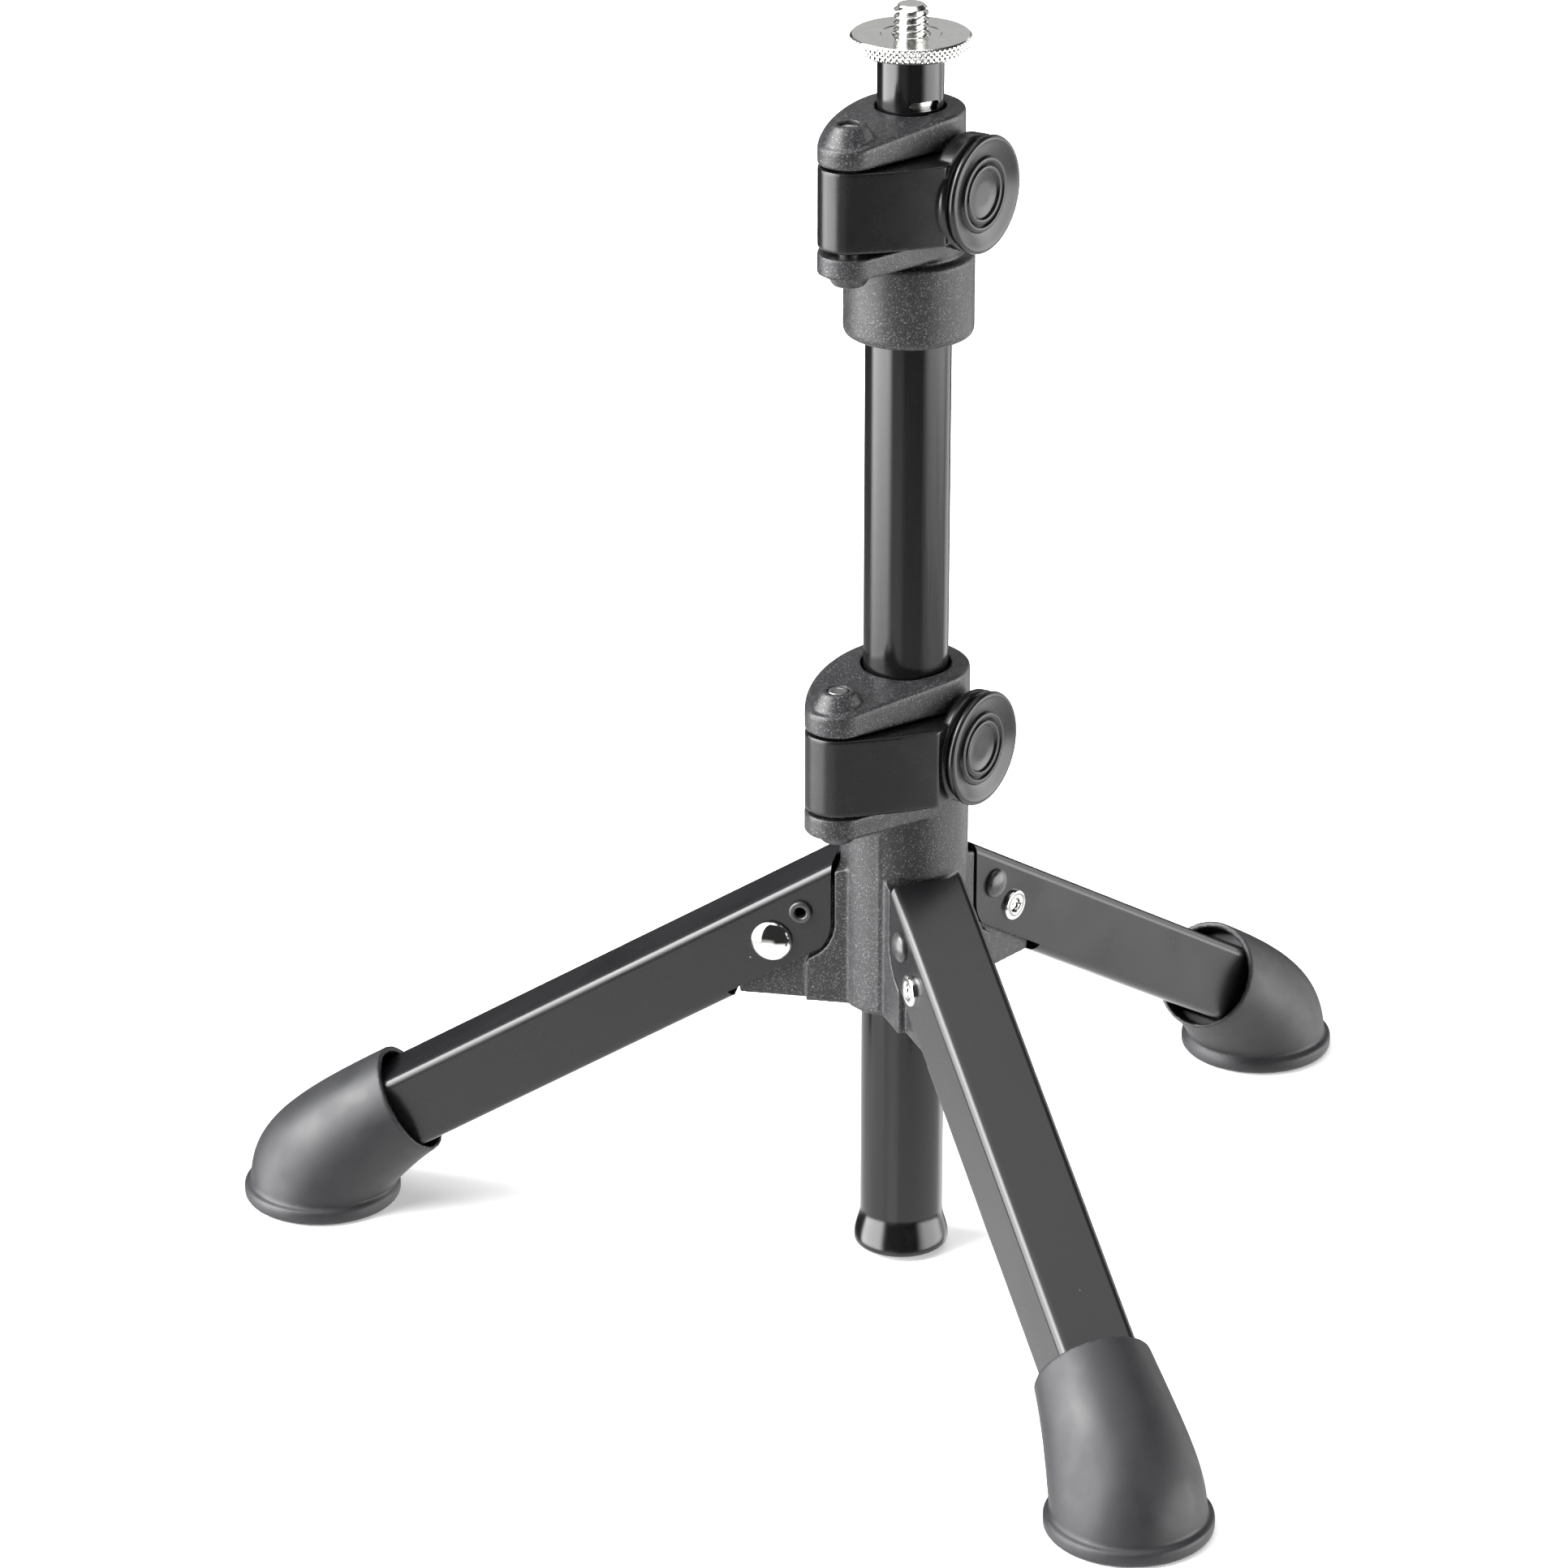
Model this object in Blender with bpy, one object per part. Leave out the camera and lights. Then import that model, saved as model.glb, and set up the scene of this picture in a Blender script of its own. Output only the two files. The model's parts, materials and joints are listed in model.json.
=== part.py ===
"""Desktop microphone stand: a three-legged folding base with a telescopic mast.

Every length is in metres.  Lengths are first written around the mast's axis, which stands at
x = y = 0, and the whole stand is then moved so that its bounding box is centred on the origin.
"""
import math

import bmesh
import bpy
from mathutils import Matrix, Vector

MM = 0.001

# Stand: the mast's axis, seen from the centre of the stand's footprint
MAST_Y = 29.09 * MM
LEGS = {"front": -90.0, "right": 30.0, "left": 150.0}

# Clearances
FIT = 0.3 * MM
CLOSE_FIT = 0.15 * MM

# Main tube and its sleeve
TUBE_R = 8.0 * MM
TUBE_WALL = 0.9 * MM
TUBE_BOTTOM = 0.8 * MM
TUBE_TOP = 203.0 * MM
FLARE_R = 9.2 * MM
FLARE_H = 2.6 * MM
SLEEVE_R = 9.5 * MM
SLEEVE_BOTTOM = 55.2 * MM
SLEEVE_TOP = 115.0 * MM

# Inner tube, its bush, guide ring, stud and nut
STEM_R = 6.1 * MM
STEM_WALL = 0.95 * MM
STEM_BOTTOM = 62.0 * MM
STEM_TOP = 241.6 * MM
BUSH_R = 6.8 * MM
BUSH_BOTTOM = 55.0 * MM
SPIGOT_TOP = 68.0 * MM
RING_R = 7.45 * MM
RING_BOTTOM = 203.6 * MM
RING_TOP = 224.6 * MM
STUD_R = 3.175 * MM
STUD_TOP = 250.2 * MM
PLUG_BOTTOM = 224.0 * MM
NUT_R = 11.2 * MM
NUT_BOTTOM = 241.9 * MM
NUT_TOP = 244.7 * MM
SAW_CUT_AZIMUTH = -80.0
SAW_CUT_Z = 233.4 * MM
SAW_CUT_HALF_TURN = math.radians(34)
SAW_CUT_H = 2.2 * MM

# Hub casting
HUB_R = 12.1 * MM
HUB_BOTTOM = 54.0 * MM
HUB_BORE_R = SLEEVE_R + FIT

# Collar of the upper clamp
COLLAR_BOTTOM = 188.1 * MM
COLLAR_TOP = 203.6 * MM

# Legs: rectangular tube that slopes down from its pivot on the hub
LEG_SLOPE = math.radians(31.3)
LEG_W = 15.0 * MM
LEG_H = 15.2 * MM
LEG_WALL = 1.2 * MM
LEG_CORNER = 1.6 * MM
LEG_UNDER_PIVOT = 7.0 * MM
LEG_END = 103.0 * MM
LEG_FLOOR_START = 12.7 * MM
PIVOT = Vector((24.2, 0.0, 66.1)) * MM
STOP_PIN = Vector((18.6, 0.0, 72.6)) * MM
LEG_BLANK_START = -30.0 * MM
HEEL_X = 12.85 * MM
HEEL_R = 7.8 * MM
HEEL_TOP = 81.4 * MM
SEAT_GAP = 0.7 * MM
SHOULDER_X = 17.6 * MM
FIN_TIP_X = 30.8 * MM
FIN_CREST = Vector((15.4, 77.0)) * MM
FIN_TOP = Vector((11.5, 80.2)) * MM
TONGUE_R = 6.8 * MM
TONGUE_GAP = 0.25 * MM
WEB_ROOT_X = 5.0 * MM

# Rivets: pivot rivet (bright) and stop pin (black)
PIVOT_SHANK_R = 2.1 * MM
PIVOT_HEAD_R = 4.05 * MM
PIVOT_HEAD_H = 2.0 * MM
PIVOT_TAIL_R = 3.0 * MM
STOP_SHANK_R = 1.4 * MM
STOP_HEAD_R = 2.9 * MM
STOP_HEAD_H = 1.5 * MM
STOP_TAIL_R = 2.2 * MM
RIVET_GAP = 0.08 * MM
PIVOT_BORE_R = 1.3 * MM
STOP_BORE_R = 1.0 * MM
RIVET_BORE_DEPTH = 5.0 * MM
RIVET_TAIL_H = 0.8 * MM

# Feet
FOOT_X = 116.3 * MM
FOOT_SOLE_R = 15.5 * MM
FOOT_SOLE_H = 3.2 * MM
FOOT_ANKLE_R = 14.2 * MM
FOOT_MOUTH_R = 11.1 * MM
FOOT_MOUTH = Vector((97.8, 0.0, 22.4)) * MM
FOOT_MOUTH_BORE_R = 10.1 * MM
FOOT_SOCKET_START = 3.0 * MM
FOOT_MOUTH_BORE_DEPTH = 5.0 * MM
TOE_FULLNESS = 0.8
HEEL_FULLNESS = 0.7

# Clamps: one at the hub, one on top of the main tube
CLAMPS = {
    "lower": {
        "pin": Vector((-17.46, -10.76, 0.0)) * MM,
        "pin_end_r": 6.2 * MM,
        "ring_r": HUB_R,
        "back_r": 34.0 * MM,
        "disc": Vector((11.0, -13.5, 108.4)) * MM,
        "plate_low": (95.2 * MM, 99.3 * MM),
        "lever_z": (99.9 * MM, 115.4 * MM),
        "plate_top_z": 115.9 * MM,
        "rim_z": 122.9 * MM,
        "boss_top": 123.4 * MM,
        "boss_low": 93.0 * MM,
        "boss_rim_r": 3.1 * MM,
        "wall_front_y": -10.6 * MM,
        "hole_r": TUBE_R + 0.5 * MM,
        "squeezed_r": SLEEVE_R,
        "boss_back": 12.7 * MM,
    },
    "upper": {
        "pin": Vector((-15.56, -10.39, 0.0)) * MM,
        "pin_end_r": 5.75 * MM,
        "ring_r": 10.1 * MM,
        "back_r": 38.0 * MM,
        "disc": Vector((9.75, -13.9, 217.3)) * MM,
        "plate_low": (204.6 * MM, 208.4 * MM),
        "lever_z": (209.6 * MM, 224.7 * MM),
        "plate_top_z": 225.2 * MM,
        "rim_z": 231.65 * MM,
        "boss_top": 232.5 * MM,
        "boss_low": 202.2 * MM,
        "boss_rim_r": 2.9 * MM,
        "wall_front_y": -9.4 * MM,
        "hole_r": STEM_R + 0.4 * MM,
        "squeezed_r": RING_R,
        "boss_back": 10.7 * MM,
    },
}
CROWN_SLOPE = 0.16
LEVER_AZIMUTH = math.radians(-4.0)
DISC_AZIMUTH = math.radians(-55.0)
DISC_R = 11.0 * MM
DISC_RIM_H = 1.5 * MM
DISC_GROOVE_H = 0.7 * MM
DISC_GROOVE_R = 10.1 * MM
DISC_BODY_R = 10.8 * MM
DISC_POCKET_R = 9.6 * MM
DISC_POCKET_DEPTH = 1.3 * MM
CAM_R = 5.9 * MM
CAM_THROW = 1.0 * MM
SHOE_W = 7.0 * MM
HINGE_PIN_R = 1.95 * MM
KNUCKLE_ROOM_R = CAM_R + CAM_THROW + 0.4 * MM
BOSS_BASE_R = 5.0 * MM
LOW_BOSS_R = 4.4 * MM
LOW_BOSS_TIP_R = 2.9 * MM

ROUND = 40
SMALL_ROUND = 20
FAR = 60.0 * MM


# ---------------------------------------------------------------- materials and objects

def clear_scene():
    for thing in list(bpy.data.objects):
        bpy.data.objects.remove(thing, do_unlink=True)


def material(name, colour, roughness, metallic=0.0):
    made = bpy.data.materials.new(name)
    made.use_nodes = True
    shader = made.node_tree.nodes["Principled BSDF"]
    shader.inputs["Base Color"].default_value = (*colour, 1.0)
    shader.inputs["Roughness"].default_value = roughness
    shader.inputs["Metallic"].default_value = metallic
    return made


def new_object(name, bm):
    """Close off a bmesh as an object whose faces point out."""
    bmesh.ops.remove_doubles(bm, verts=bm.verts, dist=0.001 * MM)
    bmesh.ops.recalc_face_normals(bm, faces=bm.faces)
    mesh = bpy.data.meshes.new(name)
    bm.to_mesh(mesh)
    bm.free()
    made = bpy.data.objects.new(name, mesh)
    bpy.context.collection.objects.link(made)
    return made


def combine(target, tool, operation):
    """Apply one Boolean and drop the tool."""
    step = target.modifiers.new(operation, "BOOLEAN")
    step.operation = operation
    step.solver = "EXACT"
    step.object = tool
    bpy.context.view_layer.update()
    graph = bpy.context.evaluated_depsgraph_get()
    result = bpy.data.meshes.new_from_object(target.evaluated_get(graph))
    target.modifiers.clear()
    target.data = result
    bpy.data.objects.remove(tool, do_unlink=True)
    return target


def join(target, *tools):
    for tool in tools:
        combine(target, tool, "UNION")
    return target


def cut(target, *tools):
    for tool in tools:
        combine(target, tool, "DIFFERENCE")
    return target


def finish(thing, look, origin, stand):
    """Give a piece its material and smooth shading, and put its origin on its axis."""
    bm = bmesh.new()
    bm.from_mesh(thing.data)
    bmesh.ops.dissolve_degenerate(bm, dist=0.002 * MM, edges=bm.edges)
    bm.to_mesh(thing.data)
    bm.free()
    thing.data.name = thing.name
    thing.data.materials.clear()
    thing.data.materials.append(look)
    thing.data.transform(Matrix.Translation(-origin))
    thing.location = origin
    thing.parent = stand
    thing.data.shade_smooth()
    thing.data.set_sharp_from_angle(angle=math.radians(35))
    return thing


# ---------------------------------------------------------------- shapes

def arc(centre, radius, start, end, steps):
    """Points on an arc; the angles are in radians."""
    return [
        (
            centre[0] + radius * math.cos(start + (end - start) * i / steps),
            centre[1] + radius * math.sin(start + (end - start) * i / steps),
        )
        for i in range(steps + 1)
    ]


def skin(bm, rings, loop=False):
    """Join rings of vertices with faces; open ends are capped, or joined to each other."""
    made = [[bm.verts.new(p) for p in ring] for ring in rings]
    pairs = list(zip(made, made[1:]))
    if loop:
        pairs.append((made[-1], made[0]))
    for low, high in pairs:
        count = len(low)
        for i in range(count):
            j = (i + 1) % count
            bm.faces.new((low[i], low[j], high[j], high[i]))
    if not loop:
        bm.faces.new(list(reversed(made[0])))
        bm.faces.new(made[-1])


def turned(name, profile, sides=ROUND, hollow=False):
    """Turn a profile of (radius, height) points about Z; a hollow one is a closed loop."""
    rings = []
    for radius, height in profile:
        rings.append([
            Vector((
                radius * math.cos(2 * math.pi * i / sides),
                radius * math.sin(2 * math.pi * i / sides),
                height,
            ))
            for i in range(sides)
        ])
    bm = bmesh.new()
    skin(bm, rings, loop=hollow)
    return new_object(name, bm)


def prism(name, outline, low, high):
    """Stand an outline of (x, y) points up between two heights."""
    bm = bmesh.new()
    skin(bm, [[Vector((x, y, z)) for x, y in outline] for z in (low, high)])
    return new_object(name, bm)


def side_prism(name, outline, half_width):
    """Extrude an outline of (x, z) points to both sides along Y."""
    bm = bmesh.new()
    skin(bm, [[Vector((x, y, z)) for x, z in outline] for y in (-half_width, half_width)])
    return new_object(name, bm)


def move(thing, matrix):
    thing.data.transform(matrix)
    return thing


def spin_z(degrees):
    return Matrix.Rotation(math.radians(degrees), 4, "Z")


def plate_outline(clamp):
    """Plan of a clamp plate, anticlockwise: pin end, straight front, ring, and bowed back."""
    pin = clamp["pin"].xy
    pin_r = clamp["pin_end_r"]
    ring_r = clamp["ring_r"] + 0.02 * MM
    back_r = clamp["back_r"]
    reach = pin.length
    to_pin, to_ring = back_r - pin_r, back_r - ring_r
    along = (to_pin ** 2 - to_ring ** 2 + reach ** 2) / (2 * reach)
    aside = math.sqrt(to_pin ** 2 - along ** 2)
    forward = -pin.normalized()
    middle = pin + along * forward + aside * Vector((forward.y, -forward.x))
    pin_side = pin - middle
    ring_side = -middle
    start = math.atan2(pin_side.y, pin_side.x) % (2 * math.pi)
    end = math.atan2(ring_side.y, ring_side.x) % (2 * math.pi)
    front = math.atan2(forward.y, forward.x) - math.pi / 2 - math.asin((ring_r - pin_r) / reach)
    outline = arc(pin, pin_r, start, front + 2 * math.pi, 14)
    outline += arc((0, 0), ring_r, front, end, 22)
    outline += arc(middle, back_r, end, start, 12)[1:-1]
    return outline


def rounded_rectangle(half_w, low, high, corner, steps=4):
    """Outline in (y, z), anticlockwise."""
    right, top, bottom = half_w - corner, high - corner, low + corner
    quarter = math.pi / 2
    outline = arc((right, top), corner, 0, quarter, steps)
    outline += arc((-right, top), corner, quarter, 2 * quarter, steps)
    outline += arc((-right, bottom), corner, 2 * quarter, 3 * quarter, steps)
    outline += arc((right, bottom), corner, 3 * quarter, 4 * quarter, steps)
    return outline


def bar(name, outline, start, end):
    """Run an outline of (y, z) points along X."""
    bm = bmesh.new()
    skin(bm, [[Vector((x, y, z)) for y, z in outline] for x in (start, end)])
    return new_object(name, bm)


def cross_pin(name, profile, sides=SMALL_ROUND):
    """A turned piece whose axis lies along Y, its head towards -Y."""
    return move(turned(name, profile, sides), Matrix.Rotation(math.radians(90), 4, "X"))


# ---------------------------------------------------------------- clamp bodies

def crown_height(clamp, radius):
    """Height of the upper plate's top, which falls away from the mast."""
    return clamp["rim_z"] - CROWN_SLOPE * (radius - clamp["hole_r"])


def above_crown(clamp):
    return turned("above", [
        (clamp["hole_r"], clamp["rim_z"]),
        (FAR, crown_height(clamp, FAR)),
        (FAR, clamp["rim_z"] + FAR),
    ], 96)


def pin_boss(clamp, upper):
    """Cone around one end of the hinge pin."""
    if upper:
        profile = [
            (BOSS_BASE_R, clamp["plate_top_z"] + 0.5 * MM),
            (BOSS_BASE_R, crown_height(clamp, clamp["pin"].length) - 0.5 * MM),
            (clamp["boss_rim_r"], clamp["boss_top"]),
        ]
    else:
        profile = [
            (LOW_BOSS_TIP_R, clamp["boss_low"]),
            (LOW_BOSS_R, clamp["plate_low"][0]),
            (LOW_BOSS_R, clamp["plate_low"][0] + 0.6 * MM),
        ]
    return move(turned("boss", profile, 24), Matrix.Translation(clamp["pin"]))


def lever_bay(clamp):
    """The space between the plates in which the lever, its cam and the shoe move."""
    low = clamp["plate_low"][1]
    high = clamp["plate_top_z"]
    front = prism("bay", [(-FAR, -FAR), (FAR, -FAR), (FAR, clamp["wall_front_y"]),
                          (-FAR, clamp["wall_front_y"])], low, high)
    slot_half = SHOE_W / 2 + FIT
    pin = clamp["pin"]
    slot = prism("slot", [(0, -slot_half), (pin.length, -slot_half),
                          (pin.length, slot_half), (0, slot_half)], low, high)
    move(slot, Matrix.Rotation(math.atan2(pin.y, pin.x), 4, "Z"))
    room = turned("room", [(KNUCKLE_ROOM_R, low), (KNUCKLE_ROOM_R, high)])
    return front, slot, move(room, Matrix.Translation(pin))


def clamp_frame(name, clamp, foot_z):
    """Two plates and the wall that joins them, standing on a stem that starts at foot_z."""
    ring_r = clamp["ring_r"]
    top = clamp["rim_z"] + MM
    frame = turned(name, [(ring_r, foot_z), (ring_r, top)])
    join(frame, prism("plates", plate_outline(clamp), clamp["plate_low"][0], top + MM))
    cut(frame, above_crown(clamp))
    join(frame, pin_boss(clamp, True), pin_boss(clamp, False))
    cut(frame, *lever_bay(clamp))
    hole_r = HINGE_PIN_R + CLOSE_FIT
    through = turned("through", [(hole_r, clamp["boss_low"] - MM),
                                 (hole_r, clamp["boss_top"] + MM)], SMALL_ROUND)
    return cut(frame, move(through, Matrix.Translation(clamp["pin"])))


# ---------------------------------------------------------------- hub

def heel_centre():
    """Centre of the leg's rounded heel, in side view, and where its leg's cut edge lies."""
    across = Vector((math.sin(LEG_SLOPE), math.cos(LEG_SLOPE)))
    edge = across.dot(Vector((PIVOT.x, PIVOT.z))) - LEG_UNDER_PIVOT + LEG_WALL
    x = HEEL_X + HEEL_R
    return x, (edge + HEEL_R - across.x * x) / across.y, edge


def shoulder_outline():
    """Side view of the block that the leg's heel nests in, as (x, z) points."""
    x, z, edge = heel_centre()
    seat_r = HEEL_R + SEAT_GAP
    corner_z = (edge - SEAT_GAP - math.sin(LEG_SLOPE) * SHOULDER_X) / math.cos(LEG_SLOPE)
    outline = [
        (WEB_ROOT_X, HUB_BOTTOM),
        (SHOULDER_X, HUB_BOTTOM),
        (SHOULDER_X, corner_z - 0.6 * MM),
        (SHOULDER_X - 0.5 * MM, corner_z + 0.3 * MM),
    ]
    outline += arc((x, z), seat_r, 1.5 * math.pi - LEG_SLOPE, math.pi, 8)
    outline += [(x - seat_r, HEEL_TOP), (WEB_ROOT_X, HEEL_TOP + 2 * MM)]
    return outline


def fin_outline():
    """Side view of the tongue inside the leg, as (x, z) points."""
    pin_reach = (STOP_PIN - PIVOT).length
    pin_angle = math.atan2(STOP_PIN.z - PIVOT.z, STOP_PIN.x - PIVOT.x)
    clear = math.asin((STOP_SHANK_R + FIT) / pin_reach)
    stop = pin_angle + clear
    outer = pin_reach + STOP_SHANK_R + FIT
    outline = [(WEB_ROOT_X, HUB_BOTTOM), (FIN_TIP_X, HUB_BOTTOM)]
    outline += arc((PIVOT.x, PIVOT.z), TONGUE_R, 0, stop, 14)
    outline.append((PIVOT.x + outer * math.cos(stop), PIVOT.z + outer * math.sin(stop)))
    outline += [FIN_CREST.to_tuple(), FIN_TOP.to_tuple(), (WEB_ROOT_X, FIN_TOP.y)]
    return outline


def make_hub():
    clamp = CLAMPS["lower"]
    hub = clamp_frame("hub", clamp, HUB_BOTTOM)
    shoulder = shoulder_outline()
    fin = fin_outline()
    fin_half = LEG_W / 2 - LEG_WALL - TONGUE_GAP
    for azimuth in LEGS.values():
        for outline, half in ((shoulder, LEG_W / 2), (fin, fin_half)):
            join(hub, move(side_prism("web", outline, half), spin_z(azimuth)))
        hole = cross_pin("hole", [(PIVOT_SHANK_R + CLOSE_FIT, -2 * LEG_W),
                                  (PIVOT_SHANK_R + CLOSE_FIT, 2 * LEG_W)])
        cut(hub, move(hole, spin_z(azimuth) @ Matrix.Translation(PIVOT)))
    bore = turned("bore", [(HUB_BORE_R, HUB_BOTTOM - 5 * MM), (HUB_BORE_R, clamp["plate_top_z"])])
    hole = turned("hole", [(clamp["hole_r"], clamp["plate_top_z"] - MM),
                           (clamp["hole_r"], clamp["rim_z"] + 5 * MM)])
    return cut(hub, bore, hole)


def make_upper_body():
    """Clamp frame and collar that close the top of the main tube."""
    clamp = CLAMPS["upper"]
    body = clamp_frame("upper_clamp_body", clamp, COLLAR_TOP - 2 * MM)
    collar = turned("collar", [(HUB_R - 0.8 * MM, COLLAR_BOTTOM), (HUB_R, COLLAR_BOTTOM + 0.8 * MM),
                               (HUB_R, COLLAR_TOP - 0.5 * MM), (HUB_R - 0.5 * MM, COLLAR_TOP)])
    join(body, collar)
    socket = turned("socket", [(TUBE_R + CLOSE_FIT, COLLAR_BOTTOM - MM),
                               (TUBE_R + CLOSE_FIT, TUBE_TOP + CLOSE_FIT)])
    bore_r = RING_R + FIT
    bore = turned("bore", [(bore_r, TUBE_TOP - MM), (bore_r, clamp["plate_top_z"])])
    hole = turned("hole", [(clamp["hole_r"], clamp["plate_top_z"] - MM),
                           (clamp["hole_r"], clamp["rim_z"] + 5 * MM)])
    return cut(body, socket, bore, hole)


# ---------------------------------------------------------------- levers, shoes and hinge pins

def disc_matrix(clamp):
    """From a Z-up turned piece to the thumb disc's place, its face at z = 0 looking out."""
    tilt = Matrix.Rotation(math.radians(90), 4, "Y")
    return Matrix.Translation(clamp["disc"]) @ Matrix.Rotation(DISC_AZIMUTH, 4, "Z") @ tilt


def make_lever(name, clamp):
    pin = clamp["pin"]
    low, high = clamp["lever_z"]
    run = Vector((math.cos(LEVER_AZIMUTH), math.sin(LEVER_AZIMUTH), 0.0))
    out = Vector((run.y, -run.x, 0.0))
    knuckle_r = clamp["pin_end_r"] - 0.05 * MM
    start = pin + knuckle_r * out
    inner_y = clamp["wall_front_y"] - 0.4 * MM
    face = Vector((math.cos(DISC_AZIMUTH), math.sin(DISC_AZIMUTH), 0.0))
    depth = clamp["disc"].dot(face) - DISC_RIM_H - DISC_GROOVE_H
    reach = (depth - 0.4 * MM - start.dot(face)) / run.dot(face)
    end = start + reach * run
    flap = [(start.x, start.y), (end.x, end.y), (clamp["disc"].x - 1.5 * MM, inner_y),
            (pin.x + 2 * MM, inner_y), (pin.x, pin.y)]
    lever = prism(name, flap, low, high)
    knuckle = turned("knuckle", [(knuckle_r, low), (knuckle_r, high)], 32)
    towards_tube = -pin.normalized()
    cam = turned("cam", [(CAM_R, low + 0.01 * MM), (CAM_R, high - 0.01 * MM)], 32)
    join(lever, move(knuckle, Matrix.Translation(pin)),
         move(cam, Matrix.Translation(pin + CAM_THROW * towards_tube)))
    rim = DISC_R - 0.4 * MM
    back = -(clamp["disc"].dot(face) - clamp["boss_back"])
    groove = -DISC_RIM_H - DISC_GROOVE_H / 2
    thumb = turned("thumb", [
        (DISC_BODY_R - 0.6 * MM, back),
        (DISC_BODY_R, back + 0.6 * MM),
        (DISC_R, -DISC_RIM_H - DISC_GROOVE_H),
        (DISC_GROOVE_R, groove),
        (DISC_R, -DISC_RIM_H),
        (DISC_R, -0.4 * MM),
        (rim, 0.0),
    ])
    join(lever, move(thumb, disc_matrix(clamp)))
    pocket = turned("pocket", [(DISC_POCKET_R, -DISC_POCKET_DEPTH), (DISC_POCKET_R, MM)])
    through = turned("through", [(HINGE_PIN_R + CLOSE_FIT, low - MM),
                                 (HINGE_PIN_R + CLOSE_FIT, high + MM)], SMALL_ROUND)
    return cut(lever, move(pocket, disc_matrix(clamp)), move(through, Matrix.Translation(pin)))


def make_thumb_disc(name, clamp):
    """Dished face with a raised ring, set into the lever's round end."""
    radius = DISC_POCKET_R - 0.1 * MM
    back = -DISC_POCKET_DEPTH + 0.1 * MM
    profile = [
        (radius, back),
        (radius, -0.25 * MM),
        (7.4 * MM, -0.75 * MM),
        (7.0 * MM, -0.5 * MM),
        (6.0 * MM, -0.5 * MM),
        (5.6 * MM, -0.8 * MM),
    ]
    return move(turned(name, profile), disc_matrix(clamp))


def make_shoe(name, clamp):
    """Block that the cam pushes against the sleeve around the tube."""
    pin = clamp["pin"]
    near = clamp["squeezed_r"] - 0.5 * MM
    far = pin.length - CAM_R - CAM_THROW - FIT
    half = SHOE_W / 2
    low, high = clamp["lever_z"]
    margin = 2.5 * MM
    shoe = prism(name, [(near, -half), (far, -half), (far, half), (near, half)],
                 low + margin, high - margin)
    move(shoe, Matrix.Rotation(math.atan2(pin.y, pin.x), 4, "Z"))
    grip = clamp["squeezed_r"] + CLOSE_FIT
    return cut(shoe, turned("grip", [(grip, low), (grip, high)]))


def make_hinge_pin(name, clamp):
    chamfer = 0.3 * MM
    low, high = clamp["boss_low"] + 0.1 * MM, clamp["boss_top"] - 0.1 * MM
    profile = [(HINGE_PIN_R - chamfer, low), (HINGE_PIN_R, low + chamfer),
               (HINGE_PIN_R, high - chamfer), (HINGE_PIN_R - chamfer, high)]
    return move(turned(name, profile, SMALL_ROUND), Matrix.Translation(clamp["pin"]))


# ---------------------------------------------------------------- mast

def tube(name, outer, wall, low, high, sides=ROUND):
    inner = outer - wall
    return turned(name, [(outer, low), (outer, high), (inner, high), (inner, low)], sides, True)


def make_main_tube():
    inner = TUBE_R - TUBE_WALL
    flare_top = TUBE_BOTTOM + FLARE_H
    return turned("main_tube", [
        (FLARE_R - 0.5 * MM, TUBE_BOTTOM),
        (FLARE_R, TUBE_BOTTOM + 0.5 * MM),
        (FLARE_R, flare_top),
        (FLARE_R - 0.7 * MM, flare_top + 0.8 * MM),
        (TUBE_R, flare_top + 2.6 * MM),
        (TUBE_R, TUBE_TOP),
        (inner, TUBE_TOP),
        (inner, TUBE_BOTTOM),
    ], ROUND, True)


def make_inner_tube():
    """Its flat saw cut shows the plug of the stud inside."""
    stem = tube("inner_tube", STEM_R, STEM_WALL, STEM_BOTTOM, STEM_TOP)
    depth = STEM_R * math.cos(SAW_CUT_HALF_TURN)
    outline = [(depth, -STEM_R), (2 * STEM_R, -STEM_R), (2 * STEM_R, STEM_R), (depth, STEM_R)]
    saw = prism("saw", outline, SAW_CUT_Z - SAW_CUT_H / 2, SAW_CUT_Z + SAW_CUT_H / 2)
    return cut(stem, move(saw, spin_z(SAW_CUT_AZIMUTH)))


def make_stud():
    plug_r = STEM_R - STEM_WALL - 0.1 * MM
    chamfer = 0.8 * MM
    return turned("threaded_stud", [
        (plug_r, PLUG_BOTTOM),
        (plug_r, STEM_TOP),
        (STUD_R, STEM_TOP),
        (STUD_R, STUD_TOP - chamfer),
        (STUD_R - chamfer, STUD_TOP),
    ], 32)


def make_nut():
    bevel = 0.3 * MM
    bore = STUD_R + 0.1 * MM
    return turned("knurled_nut", [
        (bore, NUT_BOTTOM),
        (NUT_R - bevel, NUT_BOTTOM),
        (NUT_R, NUT_BOTTOM + bevel),
        (NUT_R, NUT_TOP - bevel),
        (NUT_R - bevel, NUT_TOP),
        (bore, NUT_TOP),
    ], 48, True)


def make_bush():
    spigot_r = STEM_R - STEM_WALL - 0.2 * MM
    shelf = STEM_BOTTOM - FIT
    return turned("inner_tube_bush", [
        (BUSH_R, BUSH_BOTTOM),
        (BUSH_R, shelf),
        (spigot_r, shelf),
        (spigot_r, SPIGOT_TOP),
    ], 32)


# ---------------------------------------------------------------- legs and feet

def leg_tilt():
    """From leg coordinates (x along the leg, pivot at the origin) to the stand, heading +X."""
    return Matrix.Translation(PIVOT) @ Matrix.Rotation(LEG_SLOPE, 4, "Y")


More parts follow.
